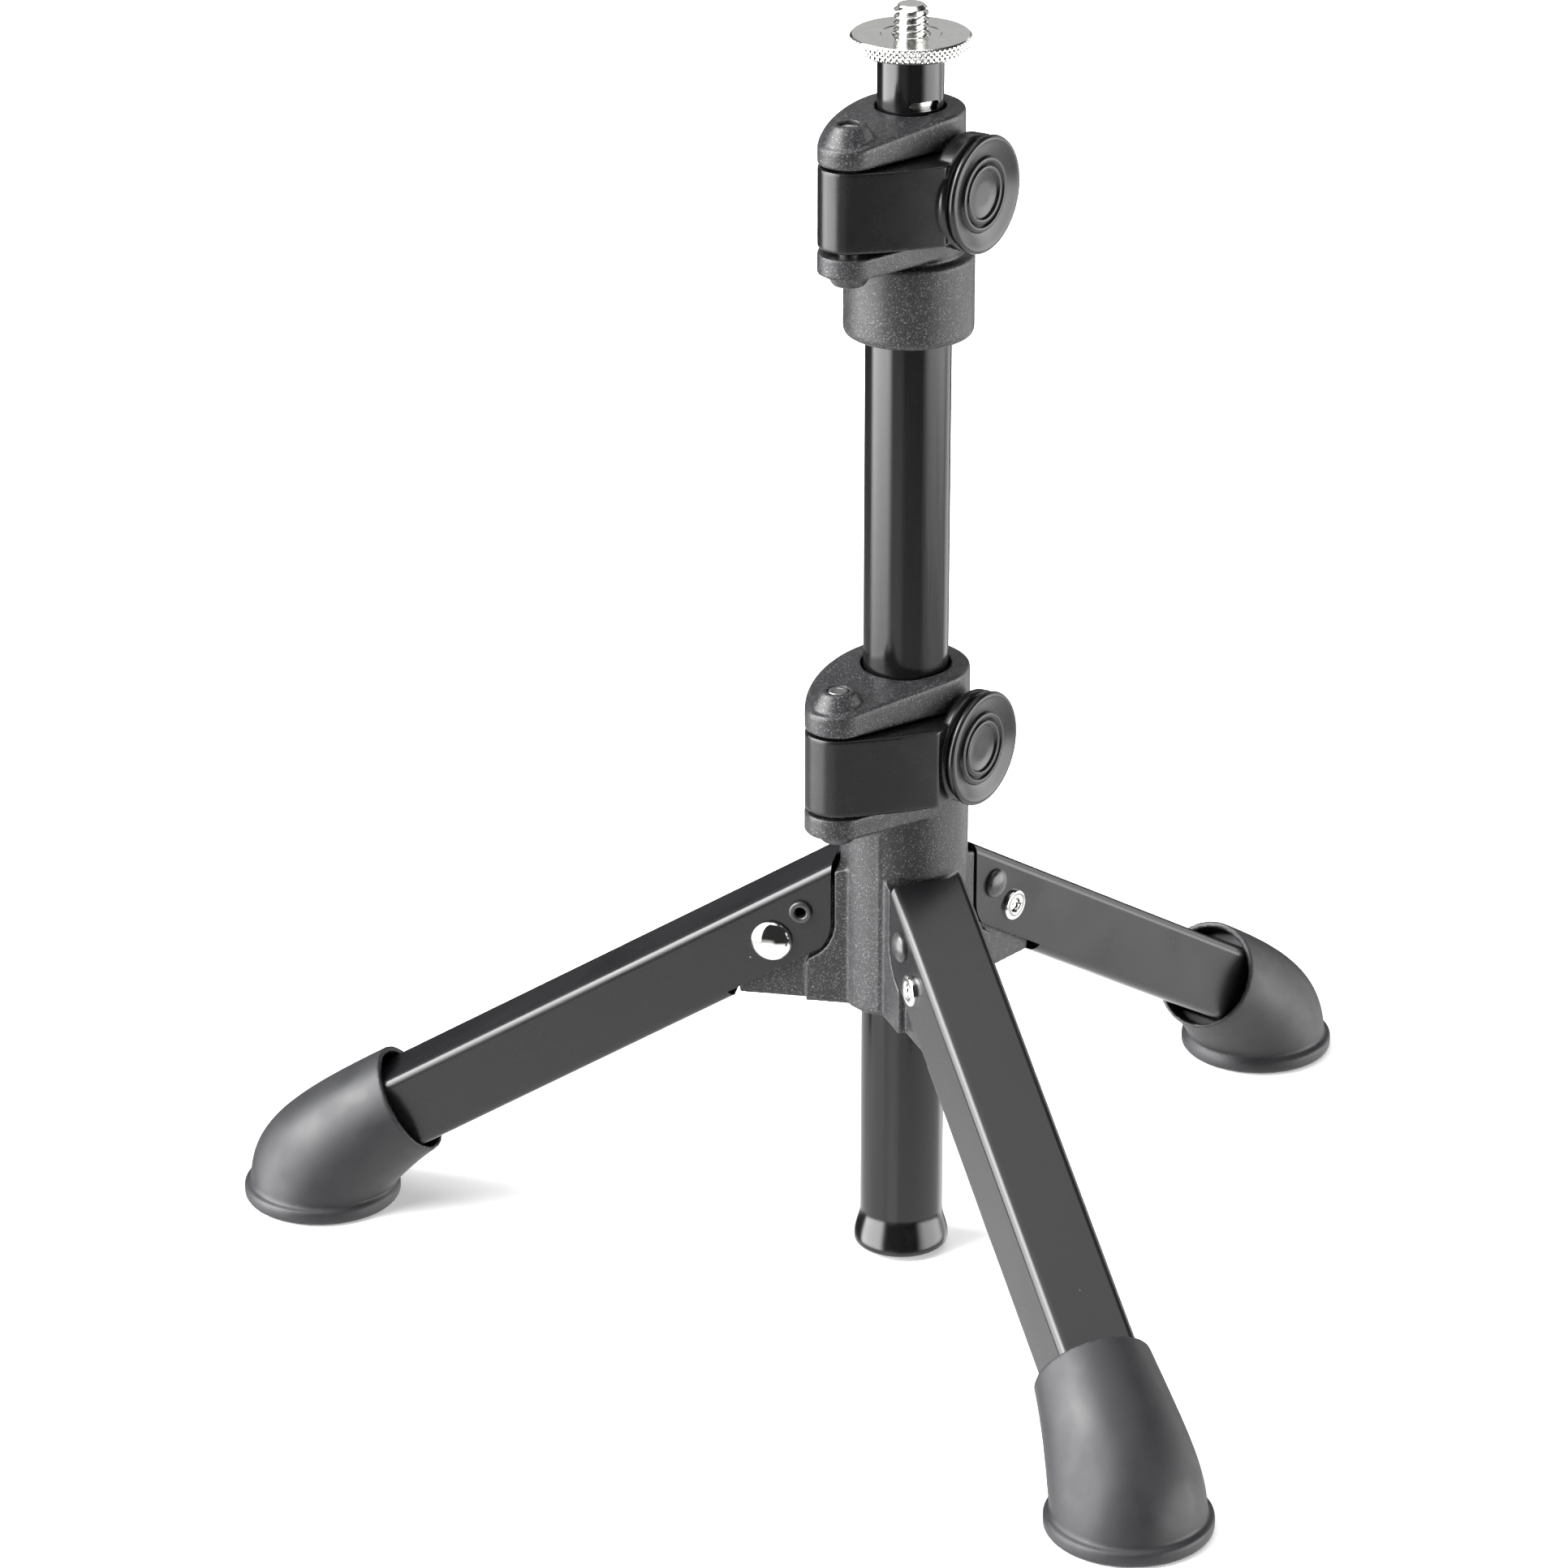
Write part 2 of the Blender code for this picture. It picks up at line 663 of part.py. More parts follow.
def make_leg(name):
    """Rectangular tube, open below and rounded at the heel so that it can fold down."""
    low = -LEG_UNDER_PIVOT
    high = low + LEG_H
    start = LEG_BLANK_START
    half = LEG_W / 2
    leg = bar(name, rounded_rectangle(half, low, high, LEG_CORNER), start, LEG_END)
    room = half - LEG_WALL
    hollow = [(-room, low + LEG_WALL), (room, low + LEG_WALL),
              (room, high - LEG_WALL), (-room, high - LEG_WALL)]
    cut(leg, bar("hollow", hollow, start - MM, LEG_END + MM))
    floor = low + LEG_WALL
    below = side_prism("below", [(start - MM, low - MM), (LEG_FLOOR_START, low - MM),
                                 (LEG_FLOOR_START, floor), (start - MM, floor)], LEG_W)
    cut(leg, below)
    move(leg, leg_tilt())

    x, z, _ = heel_centre()
    outline = [(HEEL_X, FAR + PIVOT.z), (HEEL_X, z)]
    outline += arc((x, z), HEEL_R, math.pi, 1.5 * math.pi - LEG_SLOPE, 8)[1:]
    outline += [(x - HEEL_R * math.sin(LEG_SLOPE), PIVOT.z - FAR), (-FAR, PIVOT.z - FAR),
                (-FAR, FAR + PIVOT.z)]
    cut(leg, side_prism("heel", outline, LEG_W))

    for place, radius in ((PIVOT, PIVOT_SHANK_R), (STOP_PIN, STOP_SHANK_R)):
        hole = cross_pin("hole", [(radius + CLOSE_FIT, -LEG_W), (radius + CLOSE_FIT, LEG_W)])
        cut(leg, move(hole, Matrix.Translation(place)))
    return leg


def rivet(name, place, shank_r, head_r, head_h, tail_r, bore_r, head_side):
    """Domed head on one side of the leg, rolled and hollow tail on the other."""
    seat = LEG_W / 2 + RIVET_GAP
    end = -seat - RIVET_TAIL_H
    steps = 5
    profile = [(bore_r, -seat + RIVET_BORE_DEPTH), (bore_r, end),
               (tail_r - 0.3 * MM, end), (tail_r, end + 0.4 * MM), (tail_r, -seat),
               (shank_r, -seat), (shank_r, seat), (head_r, seat)]
    for i in range(1, steps):
        angle = math.pi / 2 * i / steps
        profile.append((head_r * math.cos(angle), seat + head_h * math.sin(angle)))
    made = cross_pin(name, profile)
    if head_side > 0:
        move(made, Matrix.Rotation(math.pi, 4, "Z"))
    return move(made, Matrix.Translation(place))


def bezier(points, t):
    """Point on a cubic curve."""
    s = 1 - t
    a, b, c, d = points
    return s * s * s * a + 3 * s * s * t * b + 3 * s * t * t * c + t * t * t * d


def make_foot(name):
    """Rubber boot that bends from the leg's slope to a round flat sole."""
    along = Vector((math.cos(LEG_SLOPE), 0.0, -math.sin(LEG_SLOPE)))
    up = Vector((math.sin(LEG_SLOPE), 0.0, math.cos(LEG_SLOPE)))
    sole = Vector((FOOT_X, 0.0, FOOT_SOLE_H - 0.4 * MM))
    ankle = Vector((FOOT_ANKLE_R, 0.0, 0.0))
    top = FOOT_MOUTH + FOOT_MOUTH_R * up
    under = FOOT_MOUTH - FOOT_MOUTH_R * up
    front = sole + ankle
    heel = sole - ankle
    bend = top + along * ((front.x - top.x) / along.x)
    toe_curve = (top, top.lerp(bend, TOE_FULLNESS), front.lerp(bend, TOE_FULLNESS), front)
    heel_bend = under.lerp(heel, 0.5) + 0.8 * MM * up
    heel_curve = (under, under.lerp(heel_bend, HEEL_FULLNESS),
                  heel.lerp(heel_bend, HEEL_FULLNESS), heel)
    steps = 9
    sides = 28
    rings = []
    for i in range(steps + 1):
        t = i / steps
        upper = bezier(toe_curve, t)
        lower = bezier(heel_curve, t)
        middle = (upper + lower) / 2
        reach = (upper - lower) / 2
        half_width = FOOT_MOUTH_R + (FOOT_ANKLE_R - FOOT_MOUTH_R) * math.sin(math.pi / 2 * t)
        side = Vector((0.0, half_width, 0.0))
        rings.append([
            middle + reach * math.cos(2 * math.pi * k / sides) + side * math.sin(2 * math.pi * k / sides)
            for k in range(sides)
        ])
    bm = bmesh.new()
    skin(bm, rings)
    boot = new_object(name, bm)
    sole_disc = turned("sole", [
        (FOOT_SOLE_R - 0.6 * MM, 0.0),
        (FOOT_SOLE_R, 0.6 * MM),
        (FOOT_SOLE_R, FOOT_SOLE_H - 0.7 * MM),
        (FOOT_SOLE_R - 0.7 * MM, FOOT_SOLE_H),
    ])
    join(boot, move(sole_disc, Matrix.Translation(Vector((FOOT_X, 0.0, 0.0)))))
    mouth_x = (leg_tilt().inverted() @ FOOT_MOUTH).x
    centre_z = LEG_H / 2 - LEG_UNDER_PIVOT
    bore = turned("mouth", [(FOOT_MOUTH_BORE_R, mouth_x - FOOT_SOCKET_START),
                            (FOOT_MOUTH_BORE_R, mouth_x + FOOT_MOUTH_BORE_DEPTH)], 28)
    to_leg = Matrix.Translation(Vector((0, 0, centre_z))) @ Matrix.Rotation(math.pi / 2, 4, "Y")
    move(bore, leg_tilt() @ to_leg)
    pocket = rounded_rectangle(LEG_W / 2 + CLOSE_FIT, -LEG_UNDER_PIVOT - CLOSE_FIT,
                               LEG_H - LEG_UNDER_PIVOT + CLOSE_FIT, LEG_CORNER)
    socket = bar("socket", pocket, mouth_x - FOOT_SOCKET_START, LEG_END + CLOSE_FIT)
    move(socket, leg_tilt())
    return cut(boot, bore, socket)


def make_leg_set(looks, side, azimuth, stand):
    """One leg with its rivets and foot, with their origins on the leg's pivot."""
    turn = spin_z(azimuth)
    pieces = (
        (make_leg("leg_" + side), "satin_black"),
        (rivet("leg_pivot_" + side, PIVOT, PIVOT_SHANK_R, PIVOT_HEAD_R, PIVOT_HEAD_H,
               PIVOT_TAIL_R, PIVOT_BORE_R, 1), "chrome"),
        (rivet("stop_pin_" + side, STOP_PIN, STOP_SHANK_R, STOP_HEAD_R, STOP_HEAD_H,
               STOP_TAIL_R, STOP_BORE_R, -1), "black_steel"),
        (make_foot("foot_" + side), "rubber"),
    )
    for piece, look in pieces:
        move(piece, turn)
        finish(piece, looks[look], turn @ PIVOT, stand)


# ---------------------------------------------------------------- assembly

def build():
    clear_scene()
    looks = {
        "tube_black": material("tube_black", (0.012, 0.012, 0.014), 0.22),
        "satin_black": material("satin_black", (0.03, 0.03, 0.033), 0.42),
        "casting": material("casting", (0.035, 0.036, 0.04), 0.6),
        "lever_black": material("lever_black", (0.02, 0.02, 0.023), 0.4),
        "rubber": material("rubber", (0.028, 0.029, 0.033), 0.7),
        "chrome": material("chrome", (0.8, 0.8, 0.8), 0.12, 1.0),
        "black_steel": material("black_steel", (0.03, 0.03, 0.032), 0.3, 0.6),
        "steel": material("steel", (0.6, 0.6, 0.6), 0.3, 1.0),
        "nylon": material("nylon", (0.05, 0.05, 0.055), 0.5),
    }
    stand = bpy.data.objects.new("stand", None)
    stand.location = (0.0, MAST_Y, 0.0)
    bpy.context.collection.objects.link(stand)
    axis = Vector((0.0, 0.0, 0.0))

    finish(make_hub(), looks["casting"], axis, stand)
    finish(make_upper_body(), looks["casting"], axis, stand)
    finish(make_main_tube(), looks["tube_black"], axis, stand)
    finish(make_inner_tube(), looks["tube_black"], axis, stand)
    finish(make_stud(), looks["chrome"], axis, stand)
    finish(make_nut(), looks["chrome"], axis, stand)
    finish(make_bush(), looks["nylon"], axis, stand)
    sleeve_wall = SLEEVE_R - TUBE_R - FIT
    finish(tube("mast_sleeve", SLEEVE_R, sleeve_wall, SLEEVE_BOTTOM, SLEEVE_TOP),
           looks["nylon"], axis, stand)
    ring_wall = RING_R - STEM_R - 0.25 * MM
    finish(tube("stem_guide_ring", RING_R, ring_wall, RING_BOTTOM, RING_TOP),
           looks["nylon"], axis, stand)

    for which, clamp in CLAMPS.items():
        pin = clamp["pin"]
        finish(make_lever(which + "_lever", clamp), looks["lever_black"], pin, stand)
        finish(make_thumb_disc(which + "_thumb_disc", clamp), looks["lever_black"], pin, stand)
        finish(make_hinge_pin(which + "_hinge_pin", clamp), looks["steel"], pin, stand)
        finish(make_shoe(which + "_clamp_shoe", clamp), looks["nylon"], axis, stand)

    for side, azimuth in LEGS.items():
        make_leg_set(looks, side, azimuth, stand)
    bpy.context.view_layer.update()


build()
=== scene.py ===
"""Looks for the desktop microphone stand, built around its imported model.

Lengths are in metres.  Shapes are laid out around the mast's axis at floor level, and settle() then
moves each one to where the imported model's mast stands.
"""

import json
import math

import bmesh
import bpy
from mathutils import Matrix, Vector


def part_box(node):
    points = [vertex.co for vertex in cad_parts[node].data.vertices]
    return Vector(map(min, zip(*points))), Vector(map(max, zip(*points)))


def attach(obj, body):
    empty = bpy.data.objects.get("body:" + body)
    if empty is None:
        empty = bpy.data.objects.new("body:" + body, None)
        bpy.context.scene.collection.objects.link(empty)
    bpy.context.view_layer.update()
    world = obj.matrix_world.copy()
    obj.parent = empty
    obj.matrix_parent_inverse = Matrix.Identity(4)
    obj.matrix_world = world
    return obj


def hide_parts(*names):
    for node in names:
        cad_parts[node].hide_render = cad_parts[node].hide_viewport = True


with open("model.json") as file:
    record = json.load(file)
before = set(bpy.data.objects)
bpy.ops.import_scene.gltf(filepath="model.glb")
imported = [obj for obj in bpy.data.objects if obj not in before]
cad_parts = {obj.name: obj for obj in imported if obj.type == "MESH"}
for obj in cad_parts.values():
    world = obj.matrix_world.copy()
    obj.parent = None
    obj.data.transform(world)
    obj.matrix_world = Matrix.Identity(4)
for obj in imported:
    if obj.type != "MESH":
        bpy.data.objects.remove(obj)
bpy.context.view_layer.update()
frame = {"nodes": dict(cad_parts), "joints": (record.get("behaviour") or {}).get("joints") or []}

MM = 0.001
JOINTS = {joint["name"]: joint for joint in frame["joints"]}
LEGS = ("front", "right", "left")


def centre_line(node):
    """The vertical line through the middle of a node's box, as a point on the floor."""
    low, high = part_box(node)
    return Vector(((low.x + high.x) / 2, (low.y + high.y) / 2, 0.0))


def heights(node):
    low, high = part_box(node)
    return low.z, high.z


def radius_of(node):
    low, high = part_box(node)
    return (high.x - low.x) / 2


MAST = centre_line("knurled_nut")


def joint_point(name):
    return Vector(JOINTS[name]["pos_m"]) - MAST


# Legs: rectangular tube that slopes down from its pivot on the hub
LEG_PIVOT = joint_point("leg_right_fold")
PIVOT = Vector((LEG_PIVOT.xy.length, 0.0, LEG_PIVOT.z))
STOP_PIN = PIVOT + Vector((-5.6, 0.0, 6.5)) * MM
LEG_SLOPE = math.radians(31.3)
LEG_W = 15.0 * MM
LEG_H = 15.2 * MM
LEG_WALL = 1.2 * MM
LEG_CORNER = 1.7 * MM
LEG_UNDER_PIVOT = 7.0 * MM
LEG_END = 103.0 * MM
LEG_FLOOR_START = 12.7 * MM
HEEL_X = 12.85 * MM
HEEL_R = 7.8 * MM
HEEL_TOP = 81.4 * MM
SEAT_GAP = 0.7 * MM
SHOULDER_X = 17.6 * MM
LEG_BLANK_START = -30 * MM
FIN_TIP_X = 30.8 * MM
FIN_CREST = (15.4 * MM, 77.0 * MM)
FIN_TOP = (11.5 * MM, 80.2 * MM)
WEB_ROOT_X = 5 * MM
TONGUE_R = 6.8 * MM
TONGUE_GAP = 0.25 * MM
STOP_SHANK_ROOM = 1.7 * MM

# Rivets: shank, head radius, head height, tail radius, bore radius, bore depth, side of the head
PIVOT_RIVET = (2.1 * MM, 4.05 * MM, 1.9 * MM, 3.0 * MM, 1.35 * MM, 0.55 * MM, 1)
STOP_RIVET = (1.4 * MM, 2.9 * MM, 1.5 * MM, 2.2 * MM, 1.05 * MM, 5 * MM, -1)
PIVOT_HOLE_R = 2.2 * MM
STOP_HOLE_R = 1.5 * MM
TONGUE_HOLE_R = 2.25 * MM

# Hub and collar
HUB_R = 12.1 * MM
HUB_BOTTOM = heights("hub")[0]
BORE_R = 9.8 * MM
COLLAR_BOTTOM = heights("upper_clamp_body")[0]
COLLAR_TOP = 203.6 * MM
RING_BORE_R = 7.75 * MM
SEAM_AZIMUTHS = (-134.0, 106.0)
TUBE_R = 8.0 * MM
TUBE_WALL = 0.9 * MM
TUBE_TOP = heights("main_tube")[1]
STEM_R = radius_of("inner_tube")
STEM_WALL = 0.95 * MM
SLOT_AZIMUTH = math.radians(-83)
SLOT_Z = 232.5 * MM
SLOT_LENGTH = 6.0 * MM
SLOT_HEIGHT = 1.8 * MM
SLOT_DEPTH = 3 * MM

# Stud and nut
THREAD_R = 3.175 * MM
THREAD_PITCH = 1.27 * MM
THREAD_DEPTH = 0.72 * MM
CREST_SHARE = 0.12
FLANK_SHARE = 0.76
PLUG_R = 5.05 * MM
NUT_BORE_R = 3.3 * MM
NUT_FACE_R = 5.6 * MM
KNURL_TEETH = 66
KNURL_DEPTH = 0.3 * MM

# Clamps
CLAMPS = {
    "lower": {
        "pin": joint_point("lower_lever_swing"), "pin_end_r": 6.2 * MM, "ring_r": HUB_R,
        "back_r": 34.0 * MM, "disc": Vector((11.0, -13.5, 108.4)) * MM, "boss_back": 12.7 * MM,
        "plate_low": (95.2 * MM, 99.3 * MM), "lever_z": (99.9 * MM, 115.4 * MM),
        "plate_top_z": 115.9 * MM, "rim_z": 122.9 * MM,
        "boss_top": 123.4 * MM, "boss_low": 93.0 * MM, "boss_rim_r": 3.1 * MM, "pin_recess": 0.1 * MM,
        "wall_front_y": -10.6 * MM, "hole_r": TUBE_R + 0.5 * MM,
    },
    "upper": {
        "pin": joint_point("upper_lever_swing"), "pin_end_r": 5.75 * MM, "ring_r": 10.1 * MM,
        "back_r": 38.0 * MM, "disc": Vector((9.75, -13.9, 217.3)) * MM, "boss_back": 10.7 * MM,
        "plate_low": (204.6 * MM, 208.4 * MM), "lever_z": (209.6 * MM, 224.7 * MM),
        "plate_top_z": 225.2 * MM, "rim_z": 231.65 * MM,
        "boss_top": 232.5 * MM, "boss_low": 202.2 * MM, "boss_rim_r": 2.9 * MM, "pin_recess": 0.7 * MM,
        "wall_front_y": -9.4 * MM, "hole_r": STEM_R + 0.4 * MM,
    },
}
CROWN_SLOPE = 0.16
CROWN_FILLET = 0.7 * MM
for clamp in CLAMPS.values():
    clamp["pin"].z = 0.0
SHOE_SLOT = 7.6 * MM
LEVER_AZIMUTH = math.radians(-4.0)
LEVER_BOW = 0.45 * MM
DISC_AZIMUTH = math.radians(-55.0)
DISC_R = 11.0 * MM
CAP_THICKNESS = 2.2 * MM
HINGE_PIN_R = 1.95 * MM
HOLE_GAP = 0.15 * MM
BOSS_BASE_R = 5.0 * MM
LOW_BOSS_R = 4.4 * MM
LOW_BOSS_TIP_R = 2.9 * MM
CAM_R = 5.9 * MM
CAM_THROW = 1.0 * MM
THUMB_BOSS_R = 10.7 * MM
CAP_POCKET_R = 9.7 * MM
RING_RADII = (6.85, 5.35)
KNUCKLE_ROOM_R = 7.3 * MM
FAR = 60.0 * MM

# Feet
FOOT_X = 116.3 * MM
SOLE_R = 15.47 * MM
SOLE_H = 3.2 * MM
ANKLE_R = 14.2 * MM
MOUTH_R = 11.1 * MM
MOUTH = Vector((97.8, 0.0, 22.4)) * MM
MOUTH_BORE_R = 10.1 * MM
TOE_FULLNESS = 0.8
HEEL_FULLNESS = 0.7

# Camera and lamp
CAMERA_LENS = 143.15
CAMERA_PLACE = Vector((-383.72, -1011.65, 568.95)) * MM
CAMERA_RIGHT = math.radians(-19.574)
CAMERA_AIM_HEIGHT = 97.34
CAMERA_AIM_LEFT = 22.85
LAMP_POWER = 7.0
LAMP_HEIGHT = 1.5
FLOOR_GLOW = 0.35

ROUND = 128


# ---------------------------------------------------------------- mesh tools

def arc(centre, radius, start, end, steps):
    """Points on an arc; the angles are in radians."""
    return [
        (
            centre[0] + radius * math.cos(start + (end - start) * i / steps),
            centre[1] + radius * math.sin(start + (end - start) * i / steps),
        )
        for i in range(steps + 1)
    ]


def ring_of(radius, height, sides):
    return [
        Vector((
            radius * math.cos(2 * math.pi * i / sides),
            radius * math.sin(2 * math.pi * i / sides),
            height,
        ))
        for i in range(sides)
    ]


def skin(bm, rings, loop=False):
    """Join rings of points with faces; open ends are capped."""
    made = [[bm.verts.new(p) for p in ring] for ring in rings]
    pairs = list(zip(made, made[1:]))
    if loop:
        pairs.append((made[-1], made[0]))
    for low, high in pairs:
        for i in range(len(low)):
            j = (i + 1) % len(low)
            bm.faces.new((low[i], low[j], high[j], high[i]))
    if not loop:
        bm.faces.new(list(reversed(made[0])))
        bm.faces.new(made[-1])


def solid(rings, loop=False):
    """A closed object from rings of points."""
    bm = bmesh.new()
    skin(bm, rings, loop)
    bmesh.ops.recalc_face_normals(bm, faces=bm.faces)
    mesh = bpy.data.meshes.new("solid")
    bm.to_mesh(mesh)
    bm.free()
    made = bpy.data.objects.new("solid", mesh)
    bpy.context.scene.collection.objects.link(made)
    return made


def turned(profile, sides=ROUND, loop=False):
    return solid([ring_of(radius, height, sides) for radius, height in profile], loop)


def prism(outline, low, high):
    return solid([[Vector((x, y, z)) for x, y in outline] for z in (low, high)])


def side_prism(outline, half_width):
    return solid([[Vector((x, y, z)) for x, z in outline] for y in (-half_width, half_width)])


def bar(outline, start, end):
    return solid([[Vector((x, y, z)) for y, z in outline] for x in (start, end)])


def move(thing, matrix):
    thing.data.transform(matrix)
    return thing


def spin_z(angle):
    return Matrix.Rotation(angle, 4, "Z")


def rounded_rectangle(half_w, low, high, corner, steps=8):
    right, top, bottom = half_w - corner, high - corner, low + corner
    quarter = math.pi / 2
    outline = arc((right, top), corner, 0, quarter, steps)
    outline += arc((-right, top), corner, quarter, 2 * quarter, steps)
    outline += arc((-right, bottom), corner, 2 * quarter, 3 * quarter, steps)
    outline += arc((right, bottom), corner, 3 * quarter, 4 * quarter, steps)
    return outline


def plate_outline(clamp, inset=0.0):
    """Plan of a clamp plate, anticlockwise: pin end, straight front, ring, and bowed back."""
    pin = clamp["pin"].xy
    pin_r = clamp["pin_end_r"] - inset
    ring_r = clamp["ring_r"] + 0.02 * MM - inset
    back_r = clamp["back_r"] - inset
    reach = pin.length
    to_pin, to_ring = back_r - pin_r, back_r - ring_r
    along = (to_pin ** 2 - to_ring ** 2 + reach ** 2) / (2 * reach)
    aside = math.sqrt(to_pin ** 2 - along ** 2)
    forward = -pin.normalized()
    middle = pin + along * forward + aside * Vector((forward.y, -forward.x))
    pin_side = pin - middle
    ring_side = -middle
    start = math.atan2(pin_side.y, pin_side.x) % (2 * math.pi)
    end = math.atan2(ring_side.y, ring_side.x) % (2 * math.pi)
    front = math.atan2(forward.y, forward.x) - math.pi / 2 - math.asin((ring_r - pin_r) / reach)
    outline = arc(pin, pin_r, start, front + 2 * math.pi, 48)
    outline += arc((0, 0), ring_r, front, end, 72)
    outline += arc(middle, back_r, end, start, 40)[1:-1]
    return outline


def evaluated(thing):
    """Replace an object's mesh by what its modifiers make of it."""
    bpy.context.view_layer.update()
    graph = bpy.context.evaluated_depsgraph_get()
    result = bpy.data.meshes.new_from_object(thing.evaluated_get(graph))
    thing.modifiers.clear()
    thing.data = result
    return thing


def combine(target, tools, operation):
    for tool in tools:
        step = target.modifiers.new("combine", "BOOLEAN")
        step.operation = operation
        step.solver = "EXACT"
        step.object = tool
        evaluated(target)
        bpy.data.objects.remove(tool, do_unlink=True)
    return target


def join(target, *tools):
    return combine(target, tools, "UNION")


def cut(target, *tools):
    return combine(target, tools, "DIFFERENCE")


def moulded(thing, voxel, rounds):
    """Give every edge and inner corner the small radius of a moulded part."""
    remesh = thing.modifiers.new("remesh", "REMESH")
    remesh.mode = "VOXEL"
    remesh.voxel_size = voxel
    smooth = thing.modifiers.new("smooth", "SMOOTH")
    smooth.factor = 0.5
    smooth.iterations = rounds
    evaluated(thing)
    thing.data.shade_smooth()
    return thing


def broken_edges(thing, width, angle=40):
    """Take the sharpness off the edges of a pressed or turned part."""
    bevel = thing.modifiers.new("bevel", "BEVEL")
    bevel.width = width
    bevel.segments = 3
    bevel.limit_method = "ANGLE"
    bevel.angle_limit = math.radians(angle)
    evaluated(thing)
    thing.data.shade_smooth()
    thing.data.set_sharp_from_angle(angle=math.radians(38))
    thing.modifiers.new("weighted", "WEIGHTED_NORMAL").keep_sharp = True
    return thing


def smooth_turned(thing, angle=50):
    thing.data.shade_smooth()
    thing.data.set_sharp_from_angle(angle=math.radians(angle))
    return thing


def settle(thing, name, body, node, look, turn=Matrix.Identity(4)):
    """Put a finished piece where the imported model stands, on its body and with its material."""
    move(thing, Matrix.Translation(MAST) @ turn)
    thing.name = name
    thing.data.name = name
    thing.data.materials.clear()
    thing.data.materials.append(look)
    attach(thing, body)
    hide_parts(node)
    return thing


def copy_of(thing):
    twin = bpy.data.objects.new(thing.name, thing.data.copy())
    bpy.context.scene.collection.objects.link(twin)
    for modifier in thing.modifiers:
        if modifier.type == "WEIGHTED_NORMAL":
            twin.modifiers.new("weighted", "WEIGHTED_NORMAL").keep_sharp = True
    return twin


# ---------------------------------------------------------------- materials

class Nodes:
    """Short ways to add and link shader nodes."""

    def __init__(self, tree):
        self.tree = tree

    def add(self, kind, **values):
        node = self.tree.nodes.new(kind)
        for key, value in values.items():
            if key.title() in node.inputs:
                self.feed(node.inputs[key.title()], value)
            else:
                setattr(node, key, value)
        return node

    def feed(self, socket, value):
        if isinstance(value, bpy.types.NodeSocket):
            self.tree.links.new(value, socket)
        else:
            socket.default_value = value

    def math(self, operation, first, second=0.0, third=None):
        node = self.tree.nodes.new("ShaderNodeMath")
        node.operation = operation
        self.feed(node.inputs[0], first)
        self.feed(node.inputs[1], second)
        if third is not None:
            self.feed(node.inputs[2], third)
        return node.outputs[0]

    def noise(self, where, scale, detail=2.0, rough=0.5):
        return self.add("ShaderNodeTexNoise", vector=where, scale=scale, detail=detail,
                        roughness=rough).outputs["Fac"]

    def spread(self, value, low, high, to_low, to_high, kind="LINEAR"):
        """Map a value from one range to another, clamped."""
        node = self.tree.nodes.new("ShaderNodeMapRange")
        node.interpolation_type = kind
        for socket, given in zip(node.inputs, (value, low, high, to_low, to_high)):
            self.feed(socket, given)
        return node.outputs[0]

    def blend(self, share, first, second):
        node = self.tree.nodes.new("ShaderNodeMix")
        node.data_type = "RGBA"
        self.feed(node.inputs[0], share)
        self.feed(node.inputs[6], first)
        self.feed(node.inputs[7], second)
        return node.outputs[2]

    def bump(self, height, distance, strength, normal=None):
        node = self.tree.nodes.new("ShaderNodeBump")
        self.feed(node.inputs["Strength"], strength)
        self.feed(node.inputs["Distance"], distance)
        self.feed(node.inputs["Height"], height)
        if normal is not None:
            self.feed(node.inputs["Normal"], normal)
        return node.outputs[0]


def grey(level, blue=1.0):
    return (level, level, level * blue, 1.0)


def new_look(name, metallic=0.0, ior=1.5, coat=0.0, coat_roughness=0.1):
    """A material with its Principled shader, and the piece's own coordinates."""
    made = bpy.data.materials.new(name)
    made.use_nodes = True
    nodes = Nodes(made.node_tree)
    shader = made.node_tree.nodes["Principled BSDF"]
    shader.inputs["Metallic"].default_value = metallic
    shader.inputs["IOR"].default_value = ior
    shader.inputs["Coat Weight"].default_value = coat
    shader.inputs["Coat Roughness"].default_value = coat_roughness
    where = made.node_tree.nodes.new("ShaderNodeTexCoord").outputs["Object"]
    return made, nodes, shader, where


def dust(nodes, where, scale, share):
    """Sparse pale specks: 1 on a speck, 0 elsewhere."""
    cells = nodes.add("ShaderNodeTexVoronoi", vector=where, scale=scale)
    picked = nodes.math("LESS_THAN", nodes.add("ShaderNodeSeparateColor",
                                               color=cells.outputs["Color"]).outputs[0], share)
    near = nodes.math("LESS_THAN", cells.outputs["Distance"], 0.05)
    return nodes.math("MULTIPLY", picked, near)


